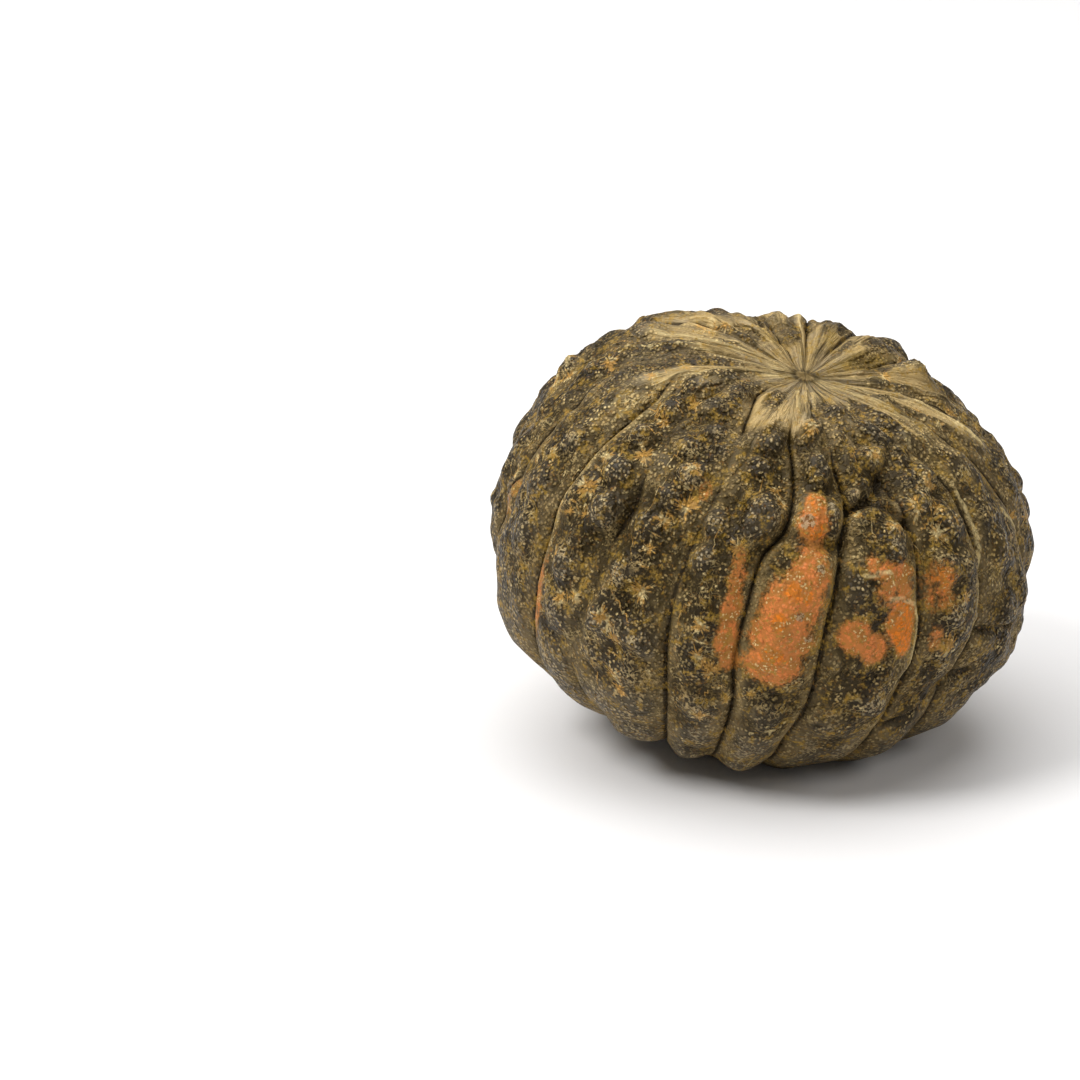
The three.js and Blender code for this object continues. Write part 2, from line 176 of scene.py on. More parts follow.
# Short creases where one lobe folds over another: the course, depth, width
CREASES = (
    (((53, 19), (50, 25), (47.5, 29), (44, 32)), 2.6, 2.2),
    (((60.5, 3), (62, 9), (60.5, 15)), 1.8, 2.4),
    (((95, 60), (96, 54), (100, 50.5), (103, 45), (107, 38)), 2.6, 2.4),
    (((83, 56.5), (85.5, 65.5), (86, 71)), 2, 2.2),
    (((38, -26), (39, -22), (37, -19)), 1.6, 2),
    (((47, 2), (46, 8), (42, 12)), 1.4, 2),
)

# Lobes that bulge out of the ribs: from the blossom end, round, half length, half breadth, height
LOBES = (
    (33, 5, 5, 4.5, 1.8), (45, 8.5, 7.5, 6, 2), (55.5, 9.5, 7, 9, 2.2), (66, 27, 15, 13, 2.4),
    (84, 33, 15, 6, 1.6), (77, 6.5, 19, 10, 1.4), (74, -9.5, 20, 8.5, 1.2), (70, 48, 17, 12, 1.4),
    (96, 25, 12, 12, 1.2), (106, 8, 12, 9, 1.4), (36, 121, 7, 9, 1.8), (66, -45, 18, 11, 1),
)

# Thin folds that only the skin has, round the small lobes at the top of the front
FINE_FOLDS = (
    (
        ((38, 1), (42, 3), (46, 4.5), (50, 7.5), (50, 10), (49, 13), (47, 16.5), (43.5, 15), (39, 12)),
        1, 1.3,
    ),
    (((52.5, 18.5), (50.5, 22.5), (51.5, 27), (53, 33.5), (56, 36)), 1.8, 1.4),
    (((47.5, 17), (45, 21), (43.5, 25.5), (46, 30.5)), 1, 1.2),
    (((34, 22), (38.5, 16), (43.5, 15)), 0.9, 1.2),
    (((59, -4), (57.5, -9), (57, -15), (53.5, -22)), 0.9, 1.4),
    (((83, 56.5), (85.5, 65.5), (86, 71)), 1.6, 1.4),
)

# Broad swellings: from the blossom end, round, spread in degrees, height
SWELLINGS = (
    (117, -62, 10, 3.4), (120, -40, 30, 1.5), (95, 77, 10, 3.2), (72, 93, 12, 1.6), (42, 155, 14, 2.8),
    (60, -112, 16, 1.6), (70, -93, 10, -2.4), (99, 52, 11, -4.2), (114, 19, 7, -2.6),
    (62, 104, 10, 1.6),
)

# Low blisters scattered by a seeded draw: the same draw as the solid's
BLISTER_SEED = 7
BLISTER_COUNT = 150
BLISTER_RADIUS = (4.6, 7.5)
BLISTER_HEIGHT = (0.5, 1.6)

# Domes scattered over the warty skin: seed, count, least and greatest radius, height as a share of it
BLISTERS = (61, 460, 4.5, 8.5, 0.36)
WARTS = (62, 4200, 1.7, 3.8, 0.52)
DOME_HEIGHT = (0.6, 1)  # the share of its full height that a dome has
BLISTER_SINK = 0.8  # how deep in the skin the domes start
WART_SINK = 0.4

# By what share the domes are lower in calm places: on the left (middle, spread, share), on the orange
# patches, and low on the fruit, where it sets in between two angles from the blossom end
CALM_SIDE = (-92, 34, 0.45)
PATCH_CALM = 0.7
LOW_ROWS = (96, 114)
LOW_CALM = 0.85

# Orange patches: from the blossom end, round, half length, half breadth, strength, and how bright the
# orange is, from 0 for salmon to 1
ORANGE_PATCHES = (
    (53.5, 8, 4, 3.5, 1, 0.6), (58, 8, 6, 5, 1, 0.5), (63, 9, 4, 5, 0.8, 0.5), (68.5, 9, 6, 7, 1, 0.1),
    (75, 6.5, 9, 10, 1, 0), (82, 6, 9, 10.5, 1, 0), (88, 5.5, 6, 10, 0.95, 0.2),
    (72, 7.5, 3, 5, 1, 0.8), (78.5, 4.5, 3, 3, 1, 0.9), (86, 5.5, 3, 4, 1, 0.8),
    (68, -7, 4, 2.5, 0.5, 0), (72, -6, 5, 3, 0.6, 0), (78, -5.5, 6, 3.4, 0.8, 0),
    (84.5, -4.7, 6, 3.8, 0.9, 0), (89.5, -3, 4, 3.4, 0.8, 0), (66, 28, 3, 9, 0.8, 0.3),
    (70, 29, 5, 7, 0.7, 0.5), (76.5, 31.8, 7, 6, 1.2, 1), (80.5, 33, 5, 3.4, 1, 0.9),
    (79.8, 21.5, 5, 5.5, 1.1, 0), (82, 26, 4.5, 5, 1, 0.2), (64, 23, 2, 2, 0.7, 0.4),
    (70, 42, 7.5, 6, 0.6, 0.9), (81, 42, 4.5, 3, 0.55, 0.3), (97, -49.5, 14, 3, 0.6, 0),
    (86, -72, 9, 4, 0.34, 0), (57, -21, 4, 2.4, 0.4, 0), (84, 148, 12, 7, 0.8, 0.3),
    (70, -132, 9, 5, 0.6, 0), (98, 102, 8, 5, 0.5, 0.5),
)
ORANGE_EDGE = (0.5, 1.45)  # a patch fades out between these shares of its size

# Starry tan spots seen in the photograph: from the blossom end, round, radius
SPOTS = (
    (74.5, -70, 1.8), (70, -64.5, 2.2), (69, -47.5, 3.4), (62, -49, 2.2), (56.5, -41.5, 3.2),
    (62, -23, 3.6), (54.5, -26, 3), (66.5, -26.5, 2), (75.5, -48, 1.4), (74, -44.5, 1.3),
    (87.5, -70.5, 1.6), (84.5, -46.5, 2), (92.5, -42, 2.2), (90, -38.5, 2.2), (90, -30.5, 2.6),
    (82, -25, 3), (93, -26.5, 2.6), (83.5, -10.5, 2.4), (89.5, -9.5, 2.2), (73, -26.5, 1.8),
    (102.5, -26, 2.4), (33.5, 4.8, 2.6), (39, 31.5, 2.6), (51.5, -3, 1.8), (54, -0.5, 1.6),
    (53.5, 21, 1.6), (57, 29, 2), (57.5, 31, 1.8), (48, 47, 3), (52.5, 39.5, 3.4), (53.5, 47, 2.2),
    (59, 45, 3), (56.5, 54, 2.4), (83, 45, 3.2), (73.5, 49, 2), (34, -69, 2.4), (38.5, -45, 2.4),
    (46, -52, 2.6), (47.5, -46, 2.2), (42.5, -67.5, 2), (92.5, -6, 2.6), (106, -24.5, 2.6),
    (99, -1.5, 2), (96, 3, 1.8), (104.5, -6, 2.6), (66, -8, 2.4), (65, 11, 2.2),
)

# Seeded spots, further round from the front than this angle and between these rows
FAR_SPOTS = 90
FAR_SPOT_SEED = 21
FAR_SPOT_TURN = 74
FAR_SPOT_ROWS = (22, 140)
SPOT_RADIUS = (1.4, 3.2)
SPOT_EDGE = 3.0  # no ray is longer than this many radii

# Knobs that only the skin has, each in a moat. The ones on the sides and the back are seeded.
KNOB_RISE = 2.3
MOAT_WIDTH = 1.6
MOAT_DEPTH = 0.5
FAR_KNOBS = 64
FAR_KNOB_SEED = 33
FAR_KNOB_ROWS = (28, 100)
FAR_KNOB_TURNS = (66, 294)
FAR_KNOB_SIZE = (3.6, 6.8)
FAR_KNOB_HEIGHT = (0.45, 0.85)
FAR_KNOB_STRETCH = 1.15

# Knobs seen in the photograph: from the blossom end, round, half length, half breadth, height
KNOBS = (
    (32, 6.5, 4.5, 4, 1.6), (44, 8.5, 6, 4.8, 1.8), (49.5, 20, 3, 2.8, 1.6), (56.5, 13.5, 6, 3, 1.2),
    (57.5, -5, 8, 6, 1.8), (47.5, -9.5, 4.5, 5, 1.3), (41, -8, 3.5, 4, 1.2), (38.5, 30, 5, 6, 1.8),
    (60, 30, 7, 5.5, 1.4), (52, 36, 4, 4, 1.4), (45, 51, 6, 5, 1.2), (57, 49.5, 6, 5, 1.2),
    (53, -46.5, 5, 5, 1.6), (63, -43.5, 5, 5.5, 1.6), (71.5, -40.5, 7, 6.5, 2),
    (69.5, -29.5, 7, 6.5, 1.8), (78, -29, 7, 7, 1.6), (84, -43.5, 8, 6, 1.2), (55, -26, 5, 5, 1.3),
    (62.5, -15, 6, 5, 1.3), (71, -14.5, 6, 4.5, 1.2), (90, -30, 8, 7, 1.4), (96, 30, 6, 7, 1.2),
    (64, -62, 6, 5, 1.2), (76, -62, 6, 6, 1.2), (88, -60, 7, 6, 1.1), (77.5, -43, 5, 5, 1.1),
    (62, -28.5, 4.5, 5, 1.3), (84, -22, 5, 5, 0.9), (97, -42, 6, 6, 1), (100, -24, 6, 6, 1),
    (50, -33, 4.5, 5, 1.2), (43, -30, 4.5, 5, 1.2), (37, -38, 5, 5, 1.2), (44, -48, 5, 5, 1.1),
    (35, -52, 5, 5, 1), (28, -38, 4, 4.5, 0.9), (66, 44, 6, 5, 1.2), (76, 46, 5, 5, 1.1),
    (86, 46, 6, 5, 1), (68, 68, 7, 6, 1.1), (82, 68, 7, 6, 1), (103, -8, 6, 6, 0.9),
    (100, 8, 6, 6, 0.9),
)

# Thin pale raised lines along folds: the course, height, width
FOLD_LINES = (
    (((49.5, 60), (54.5, 60.5), (61, 60.5), (65.5, 59.5), (73, 56), (78, 55), (84, 54.5)), 0.7, 1.1),
    (((61, 75), (66.5, 79.5), (69, 81)), 0.5, 1),
    (((71.5, 27), (71.5, 31), (73, 35.5), (76.5, 37), (81.5, 36.5), (86.5, 36.5), (92, 34)), 0.8, 0.8),
    (((67, 21), (66, 28)), 0.5, 0.8),
    (((30, 91), (38.5, 92.5), (43.5, 90.5), (49, 90)), 0.7, 1.2),
    (((104.5, 8), (104.8, 10.5), (102.5, 13)), 0.3, 0.5),
    (((104.8, 10), (106.5, 9.5)), 0.3, 0.5),
)

# Hollows, with painted shade in them on warty skin and mustard on smooth skin: from the blossom end, round,
# radius, depth
PITS = (
    (37, -3.5, 3.4, 1.6), (17.5, -159, 4, 1.8), (67, -35.5, 5, 1.4), (46, 32, 4.5, 1.2),
    (120.5, -6, 2.8, 0.9), (24, 130, 5, 1), (90, 35.5, 3.2, 1.6),
)
PIT_SHADE = 1.3  # the dark of a hollow is this much wider than it

# Where the smooth streaked ground of the blossom end gives way to warts: round, from, over how far
SMOOTH_REACH = (
    (-180, 30, 20), (-120, 34, 24), (-82, 34, 24), (-64, 24, 20), (-34, 15, 14), (-24, 32, 10),
    (-17, 38, 20), (-10, 32, 12), (-2, 30, 10), (6, 22, 10), (30, 20, 14), (60, 26, 16), (100, 28, 20),
    (180, 30, 20),
)

# Pale scabs: from the blossom end, round, radius
SCABS = (
    (57.5, 6.5, 2.4), (53.5, 12.5, 1.8), (76.5, 8.5, 1.5), (81, 11.5, 1.4), (66.5, 11, 1.4),
)
SCAB_EDGE = 1.5  # a scab fades out over its last radius, up to this many

# Pale raised bands that run out from the blossom end: the course, height, width
BANDS = (
    (((42, -102), (34, -101.5), (26.5, -102.5), (18.5, -100), (12, -102), (5, -92)), 0.9, 3.2),
    (((48.5, -91), (36, -89), (29, -88), (22, -82), (12.5, -80), (5, -60)), 0.5, 1.3),
    (((39, -60.5), (32, -58.5), (23, -61), (14, -61.5), (5, -51)), 0.6, 2.6),
    (((62, -63), (52.5, -60.5), (44.5, -61), (37.5, -59), (29, -57.5)), 0.4, 4),
    (((13.5, 53.5), (20, 37.5), (28, 28.5)), 0.6, 0.8),
    (((11, -8), (18, -4), (25, -2)), 0.4, 0.8),
    (((11, 3.5), (24.5, 3.5)), 0.4, 0.8),
    (((10, 13.5), (23, 7.5)), 0.4, 0.8),
    (((3, 107), (15, 111), (21.5, 103.5), (30, 104)), 0.4, 1),
    (((4.5, 59), (11.5, 76), (17, 72.5), (24.5, 70), (31, 67.5), (40, 64)), 0.8, 3.2),
    (((29.5, 58.5), (35, 53), (40, 51), (48.5, 47)), 0.4, 1.6),
    (((27.5, 88), (34.5, 87.5), (42, 89), (50, 90)), 0.5, 0.9),
    (((40, -175.5), (30, -175.5), (11, -174), (4, -171)), 0.6, 1.4),
    (((40, -57), (48, -54.5), (56, -53), (64, -52.4), (72, -52.2), (80, -51)), 0.5, 1.5),
)

# Tan ground in streaks that run out from the blossom end: from the blossom end, round, half length,
# half breadth, strength, and how yellow it is
TAN_STREAKS = (
    (29, -15, 15, 9, 1, 0), (26, -108, 26, 2.6, 1, 0), (30, -96, 18, 4, 1, 0), (34, -60, 16, 5, 1, 0),
    (30, 20, 10, 5, 1, 0), (32, 62, 20, 5, 1, 0), (30, 84, 18, 3, 1, 0), (38, 90, 16, 2.4, 1, 0),
    (16, -172, 12, 1.8, 1, 0), (30, 112, 12, 7, 1, 0), (30, -130, 14, 5, 1, 0), (34, 150, 12, 4, 1, 0),
    (38, 68, 12, 7, 1, 0), (45, 77, 13, 6, 1, 0), (34, 97, 10, 8, 1, 0), (45, 110, 10, 7, 1, 0),
    (44.5, 61, 9, 4, 1, 0.4), (22, 134, 17, 5, 1, 1), (24, 166, 9, 4, 1, 0.8), (19, -148, 8, 4, 1, 0.6),
    (56, 68, 10, 3, 1, 0.5), (70, 65, 11, 3.5, 1, 0.7), (78, 72, 9, 3.5, 1, 0.8),
    (38, -25, 6, 3, 1, 0.2), (50, -17, 12, 4, 1, 0.1), (33, 5, 5, 5, 1, 0),
)
TAN_EDGE = (0.4, 1.5)

# How the relief is painted into the colours, as painted shade in grooves, creases, valleys and between
# lumps and as painted highlight on lump tops and lips: the depths and heights that count as full, and
# widths as shares of half a rib
FULL_GROOVE = 2.5
FULL_FOLD = 2
FULL_CREASE = 2.1
FULL_CREST = 1.8
FULL_LUMP = 2
GROOVE_WIDTH = 0.11
VALLEY_SHADE_WIDTH = 0.3
LIP_WIDTH = 0.1
LIP_SHARE = 0.2

# Noise that follows the body: size of a wave in millimetres, and seed
PUSH = (6, 50)
PUSH_REACH = 1.6  # how far it bends the edges of the domes
CLUMPS = (19, 3)
LUMPS = (15, 8)
SMALL_LUMPS = (7, 9)
RAGGED_EDGE = (7, 70)

# Noise drawn out along the ribs: waves a millimetre across them and along them, and seed
TONGUES = (0.055, 0.014, 71)
WARTY_ISLANDS = (0.075, 0.035, 72)
BROAD_STREAKS = (0.11, 0.025, 5)
FINE_STREAKS = (0.25, 0.05, 6)

# The lips of the grooves, pale tan with painted highlight, face away from this angle round, and are full at
# this depth
LIP_TURN = 8
LIP_DEPTH = 4
FAR_LIP = 0.25  # how strong a lip is on the other side of its groove

ARM = (BODY_RADIUS + HALF_HEIGHT) / 2  # turns radians into millimetres over the skin
WORD = 2 ** 32  # the seeded numbers are whole and below this


def smoothstep(x, low, high):
    t = np.clip((x - low) / (high - low), 0, 1)
    return t * t * (3 - 2 * t)


def bell(x):
    """1 at 0, falling to 0 on both sides."""
    return np.exp(-(x ** 2))


def along(groove, value, start):
    """One value of a groove at angles from the blossom end, by a smooth curve through its points."""
    knots = np.array(groove, float)
    at, level = knots[:, 0], knots[:, value]
    slope = np.empty(len(at))
    slope[1:-1] = (level[2:] - level[:-2]) / (at[2:] - at[:-2])
    slope[0] = (level[1] - level[0]) / (at[1] - at[0])
    slope[-1] = (level[-1] - level[-2]) / (at[-1] - at[-2])
    i = np.clip(np.searchsorted(at, start, side="right") - 1, 0, len(at) - 2)
    step = at[i + 1] - at[i]
    t = (start - at[i]) / step
    rise = level[i + 1] - level[i]
    early = slope[i] * step - rise
    late = rise - slope[i + 1] * step
    return level[i] + rise * t + t * (1 - t) * (early * (1 - t) + late * t)


def random_source(seed):
    """A repeatable source of random numbers between 0 and 1."""
    state = seed
    whole = WORD - 1
    while True:
        state = (state + 0x6D2B79F5) & whole
        t = ((state ^ (state >> 15)) * (1 | state)) & whole
        t = ((t + (((t ^ (t >> 7)) * (61 | t)) & whole)) & whole) ^ t
        yield (t ^ (t >> 14)) / WORD


def drawn(draw, span):
    """The next number of a source, spread evenly over a span."""
    return span[0] + (span[1] - span[0]) * next(draw)


def drawn_place(draw):
    """Angles from the blossom end and round, spread evenly over the fruit."""
    start = math.degrees(math.acos(1 - 2 * next(draw)))
    return start, 360 * next(draw) - 180


def direction(start, turn):
    """Unit direction of places on the fruit, as seen from its middle."""
    v, u = np.radians(start), np.radians(turn)
    return np.stack(np.broadcast_arrays(np.sin(v) * np.sin(u), -np.sin(v) * np.cos(u), np.cos(v)), -1)


def profile(start):
    """The smooth fruit without its ribs: distance from the axis, and height."""
    s, c = np.sin(np.radians(start)), np.cos(np.radians(start))
    power = SQUARENESS
    reach = (np.abs(s / BODY_RADIUS) ** power + np.abs(c / HALF_HEIGHT) ** power) ** (-1 / power)
    radius = reach * s
    depth = np.where(c > 0, BLOSSOM_DIMPLE[0], STEM_CAVITY[0])
    spread = np.where(c > 0, BLOSSOM_DIMPLE[1], STEM_CAVITY[1])
    return radius, reach * c - np.sign(c) * depth * bell(radius / spread)


def facing(start):
    """Which way the smooth fruit faces, across and along its axis."""
    radius_a, height_a = profile(start - 0.05)
    radius_b, height_b = profile(start + 0.05)
    length = np.hypot(radius_b - radius_a, height_b - height_a)
    return (height_a - height_b) / length, (radius_b - radius_a) / length


def arch(x, sharpness):
    """Cross-section of a rib: 0 at its groove and 1 at its crest."""
    return sharpness * np.sqrt(1 - (1 - x) ** 2) + (1 - sharpness) * np.sin(x * np.pi / 2) ** 2


def skin_offset(start, turn, place):
    """Millimetres over the skin from a place, across and along."""
    bend = (turn - place[1] + 540) % 360 - 180
    return np.radians(bend) * profile(start)[0], np.radians(start - place[0]) * ARM


def oval_reach(start, turn, place, long, wide):
    """Square of the distance over the skin to a place, 1 at the rim of an oval round it."""
    across, length = skin_offset(start, turn, place)
    return (across / wide) ** 2 + (length / long) ** 2


def apart_from(here, place):
    """Millimetres between directions on the fruit."""
    return np.linalg.norm(here - place, axis=-1) * ARM


def near_course(start, turn, course):
    """Distance over the skin to a line through places."""
    nearest = np.full(np.broadcast(start, turn).shape, np.inf)
    for begin, end in zip(course, course[1:]):
        ax, ay = skin_offset(start, turn, begin)
        bx, by = skin_offset(start, turn, end)
        dx, dy = ax - bx, ay - by
        t = np.clip((ax * dx + ay * dy) / (dx * dx + dy * dy), 0, 1)
        nearest = np.minimum(nearest, np.hypot(ax - t * dx, ay - t * dy))
    return nearest


def crease_depth(start, turn, creases=CREASES):
    deepest = 0
    for course, depth, width in creases:
        deepest = np.maximum(deepest, depth * bell(near_course(start, turn, course) / width))
    return deepest


def pillow(start, turn, place, long, wide):
    """1 on a flat-topped pillow with steep sides, 0 off it."""
    return bell(oval_reach(start, turn, place, long, wide))


def lobe_height(start, turn):
    return sum(high * pillow(start, turn, (v, u), long, wide) for v, u, long, wide, high in LOBES)


def swelling_height(start, turn):
    here = direction(start, turn)
    height = 0
    for v, u, spread, high in SWELLINGS:
        apart = np.degrees(np.arccos(np.clip(here @ direction(v, u), -1, 1)))
        height = height + high * np.exp(-0.5 * (apart / spread) ** 2)
    return height


def blister_height(here):
    draw = random_source(BLISTER_SEED)
    height = np.zeros(here.shape[:-1])
    for _ in range(BLISTER_COUNT):
        apart = apart_from(here, direction(*drawn_place(draw)))
        radius = drawn(draw, BLISTER_RADIUS)
        height += drawn(draw, BLISTER_HEIGHT) * bell(apart / radius)
    return height


def away_from_poles(start):
    return smoothstep(start, 6, 22) * (1 - smoothstep(start, 150, 168))


# From the fruit's own frame to the ground it lies on
LEAN_MATRIX = np.array(LEAN.to_matrix())
UP_IN_FRUIT = LEAN_MATRIX.T @ np.array((0, 0, 1))
SAG_WAY = np.array((UP_IN_FRUIT[0], UP_IN_FRUIT[1], 0)) / np.hypot(UP_IN_FRUIT[0], UP_IN_FRUIT[1])


def lie_down(points):
    placed = points @ LEAN_MATRIX.T
    placed[..., 2] = np.maximum(0, placed[..., 2] + CENTRE_HEIGHT)
    return placed


def rib_grid(rows, shares):
    """The grid of columns that follow the grooves: places, rib relief, and how near the groove is."""
    rows, shares = np.asarray(rows, float), np.asarray(shares, float)
    turns, reliefs, ribs, lips = [], [], [], []
    for i, groove in enumerate(GROOVES):
        following = GROOVES[(i + 1) % len(GROOVES)]
        begin = along(groove, 1, rows)[:, None]
        end = along(following, 1, rows)[:, None] + (360 if i + 1 == len(GROOVES) else 0)
        turns.append(begin + shares * (end - begin))
        x = 1 - np.abs(1 - 2 * shares)
        left = shares < 0.5
        depth, sharp = (
            np.where(left, along(groove, value, rows)[:, None], along(following, value, rows)[:, None])
            for value in (2, 3)
        )
        reliefs.append(-depth * (1 - arch(x, sharp)))
        ribs.append(np.broadcast_to(x, turns[-1].shape))
        front = np.where(turns[-1] < LIP_TURN, left, ~left)
        lip = np.clip(sharp * 1.4 - 0.4, 0, 1) * np.clip(depth / LIP_DEPTH, 0, 1)
        lips.append(lip * np.where(front, 1, FAR_LIP))
    return rows[:, None], *(np.concatenate(parts, 1) for parts in (turns, reliefs, ribs, lips))


def skin_points(start, turn, relief, detail=0):
    """Places on the skin on the ground, with the rib relief and the fine detail given."""
    radius, height = profile(start)
    across, upward = facing(start)
    scar = BLOSSOM_SCAR[0] * bell(radius / BLOSSOM_SCAR[1]) * (start < 90)
    small = lobe_height(start, turn) + blister_height(direction(start, turn)) - crease_depth(start, turn)
    out = relief + scar + detail + (small + swelling_height(start, turn)) * away_from_poles(start)
    reach = radius + across * out
    u = np.radians(turn)
    points = np.stack(np.broadcast_arrays(reach * np.sin(u), -reach * np.cos(u), height + upward * out), -1)
    sag = SAG_SHIFT * smoothstep(start, SAG_FROM, 180)
    return lie_down(points + sag[..., None] * SAG_WAY)


def solid_offset():
    """How far the solid was moved to put the middle of its footprint at the origin."""
    begin = SOLID_POLE_ROWS[-1]
    steps = round((LAST_ROW - begin) / SOLID_ROW_STEP)
    rows = [*SOLID_POLE_ROWS, *(begin + (LAST_ROW - begin) * (i + 1) / steps for i in range(steps))]
    start, turn, relief, _, _ = rib_grid(rows, SOLID_SHARES)
    points = skin_points(start, turn, relief).reshape(-1, 3)
    middle = (points.min(0) + points.max(0)) / 2
    return np.array((-middle[0], -middle[1], 0))


# Repeatable noise on a lattice
def lattice_value(cell, seed):
    """A repeatable number between 0 and 1 for each whole-numbered cell."""
    mixed = cell[..., 0] * 73856093 ^ cell[..., 1] * 19349663 ^ cell[..., 2] * 83492791 ^ seed * 2654435761
    mixed &= WORD - 1
    for shift, factor in ((15, 2246822519), (13, 3266489917)):
        mixed = ((mixed ^ (mixed >> shift)) * factor) & (WORD - 1)
    return (mixed ^ (mixed >> 16)) / WORD


def smooth_noise(points, seed):
    """Smooth noise between -1 and 1, one wave a unit."""
    cell = np.floor(points).astype(np.int64)
    part = points - cell
    ease = part * part * part * (part * (part * 6 - 15) + 10)
    total = 0
    for corner in np.ndindex(2, 2, 2):
        weight = np.prod(np.where(corner, ease, 1 - ease), axis=-1)
        total = total + weight * lattice_value(cell + np.array(corner), seed)
    return 2 * total - 1


def index_places(places):
    """A search tree of places."""
    tree = KDTree(len(places))
    for number, place in enumerate(places):
        tree.insert(place, number)
    tree.balance()
    return tree


def scattered_domes(tree, size, kind):
    """Height of round domes scattered over the fruit, with creases where they meet."""
    seed, count, least, greatest, steepness = kind
    draw = random_source(seed)
    height = np.zeros(size)
    for _ in range(count):
        centre = direction(*drawn_place(draw)) * ARM
        radius = least + (greatest - least) * next(draw) ** 2
        high = radius * steepness * drawn(draw, DOME_HEIGHT)
        for _, number, apart in tree.find_range(centre, radius):
            height[number] = max(height[number], high * (1 - (apart / radius) ** 2))
    return height


def grain_points(start, turn):
    """Coordinates that follow the ribs, so that noise in them makes streaks from pole to pole."""
    u = np.radians(turn)
    parts = np.broadcast_arrays(np.cos(u) * BODY_RADIUS, np.sin(u) * BODY_RADIUS, np.radians(start) * ARM)
    return np.stack(parts, -1)


def body_noise(body, size, seed):
    return smooth_noise(body / size, seed)


def streak_noise(grain, across, length, seed):
    return smooth_noise(grain * (across, across, length), seed)


def smooth_share(start, turn):
    """1 on the smooth streaked ground round the blossom end, 0 where the warts begin."""
    reach = np.array(SMOOTH_REACH, float)
    bend = (turn + 540) % 360 - 180
    begin = np.interp(bend, reach[:, 0], reach[:, 1])
    over = np.interp(bend, reach[:, 0], reach[:, 2])
    grain = grain_points(start, turn)
    ragged = 5 * body_noise(direction(start, turn) * ARM, *RAGGED_EDGE)
    tongues = 18 * streak_noise(grain, *TONGUES)
    share = 1 - smoothstep(start + (ragged + tongues) * smoothstep(start, 4, 16), begin, begin + over)
    warty = smoothstep(streak_noise(grain, *WARTY_ISLANDS), 0, 0.3)
    return share * (1 - 0.85 * warty * smoothstep(start, 12, 22))


def raised_lines(start, turn, lines):
    """Height of raised lines, and how much each place belongs to one."""
    height, share = 0, 0
    for course, high, width in lines:
        line = bell(near_course(start, turn, course) / width)
        height = np.maximum(height, high * line)
        share = np.maximum(share, line)
    return height, share


def all_knobs():
    """The knobs seen in the photograph, and seeded ones on the sides and the back."""
    draw = random_source(FAR_KNOB_SEED)
    knobs = list(KNOBS)
    for _ in range(FAR_KNOBS):
        place = (drawn(draw, FAR_KNOB_ROWS), drawn(draw, FAR_KNOB_TURNS))
        size = drawn(draw, FAR_KNOB_SIZE)
        knobs.append((*place, size * FAR_KNOB_STRETCH, size, drawn(draw, FAR_KNOB_HEIGHT)))
    return knobs


def knob_height(start, turn):
    """Height of the knobs, each with a moat round it."""
    height = 0
    for v, u, long, wide, high in all_knobs():
        knob = pillow(start, turn, (v, u), long, wide)
        moat = pillow(start, turn, (v, u), MOAT_WIDTH * long, MOAT_WIDTH * wide)
        height = height + KNOB_RISE * high * (knob - MOAT_DEPTH * moat)
    return height


def fine_detail(start, turn, rib, smooth):
    """Height of the knobs, warts and wrinkles that only the skin has, and of the lumps among them."""
    body = direction(start, turn) * ARM
    grain = grain_points(start, turn)
    push = [body_noise(body, PUSH[0], PUSH[1] + axis) for axis in range(3)]
    pushed = body + PUSH_REACH * np.stack(push, -1)
    tree = index_places(pushed.reshape(-1, 3))
    blisters = scattered_domes(tree, turn.size, BLISTERS).reshape(turn.shape)
    warts = scattered_domes(tree, turn.size, WARTS).reshape(turn.shape)
    belt = (1 - smooth) * (1 - LOW_CALM * smoothstep(start, *LOW_ROWS))
    clumps = smoothstep(body_noise(body, *CLUMPS), -0.6, 0.2)
    orange, _ = soft_masks(start, turn, ORANGE_PATCHES, ORANGE_EDGE)
    inland = smoothstep(rib, 0.1, 0.36) * (1 - PATCH_CALM * orange)
    calm = CALM_SIDE[2] * bell((turn - CALM_SIDE[0]) / CALM_SIDE[1])
    rough = belt * inland * (1 - calm)
    lumps = body_noise(body, *LUMPS) + 0.5 * body_noise(body, *SMALL_LUMPS)
    lump = rough * (blisters - BLISTER_SINK) * (0.65 + 0.35 * clumps) + knob_height(start, turn)
    lump = lump + lumps * smoothstep(start, 12, 40) * smoothstep(rib, 0.02, 0.25)
    streaks = streak_noise(grain, *BROAD_STREAKS) + 0.5 * streak_noise(grain, *FINE_STREAKS)
    height = lump + streaks * (0.1 + 1.1 * smooth) * smoothstep(start, 8, 26)
    height = height + rough * (warts - WART_SINK) * (0.3 + 0.7 * clumps)
    for v, u, radius, depth in PITS:
        height -= depth * np.exp(-oval_reach(start, turn, (v, u), radius, radius))
    height = height - crease_depth(start, turn, FINE_FOLDS)
    return height * away_from_poles(start), lump


def skin_rows():
    """Angles of the skin's rows, closer together where the warts are."""
    fine = np.linspace(POLE_GAP, LAST_ROW, 2000)
    crowd = 1 + (BELT_CROWDING - 1) * smoothstep(fine, BELT_ROWS[0] - 6, BELT_ROWS[0])
    crowd = crowd - (BELT_CROWDING - 1) * smoothstep(fine, BELT_ROWS[1], BELT_ROWS[1] + 12)
    count = np.cumsum(crowd)
    return np.interp(np.linspace(count[0], count[-1], SKIN_ROWS), count, fine)


def all_spots():
    """The spots seen in the photograph, and seeded ones on the sides and the back."""
    draw = random_source(FAR_SPOT_SEED)
    spots = list(SPOTS)
    while len(spots) < len(SPOTS) + FAR_SPOTS:
        start, turn = drawn_place(draw)
        radius = drawn(draw, SPOT_RADIUS)
        if abs(turn) > FAR_SPOT_TURN and FAR_SPOT_ROWS[0] < start < FAR_SPOT_ROWS[1]:
            spots.append((start, turn, radius))
    return spots


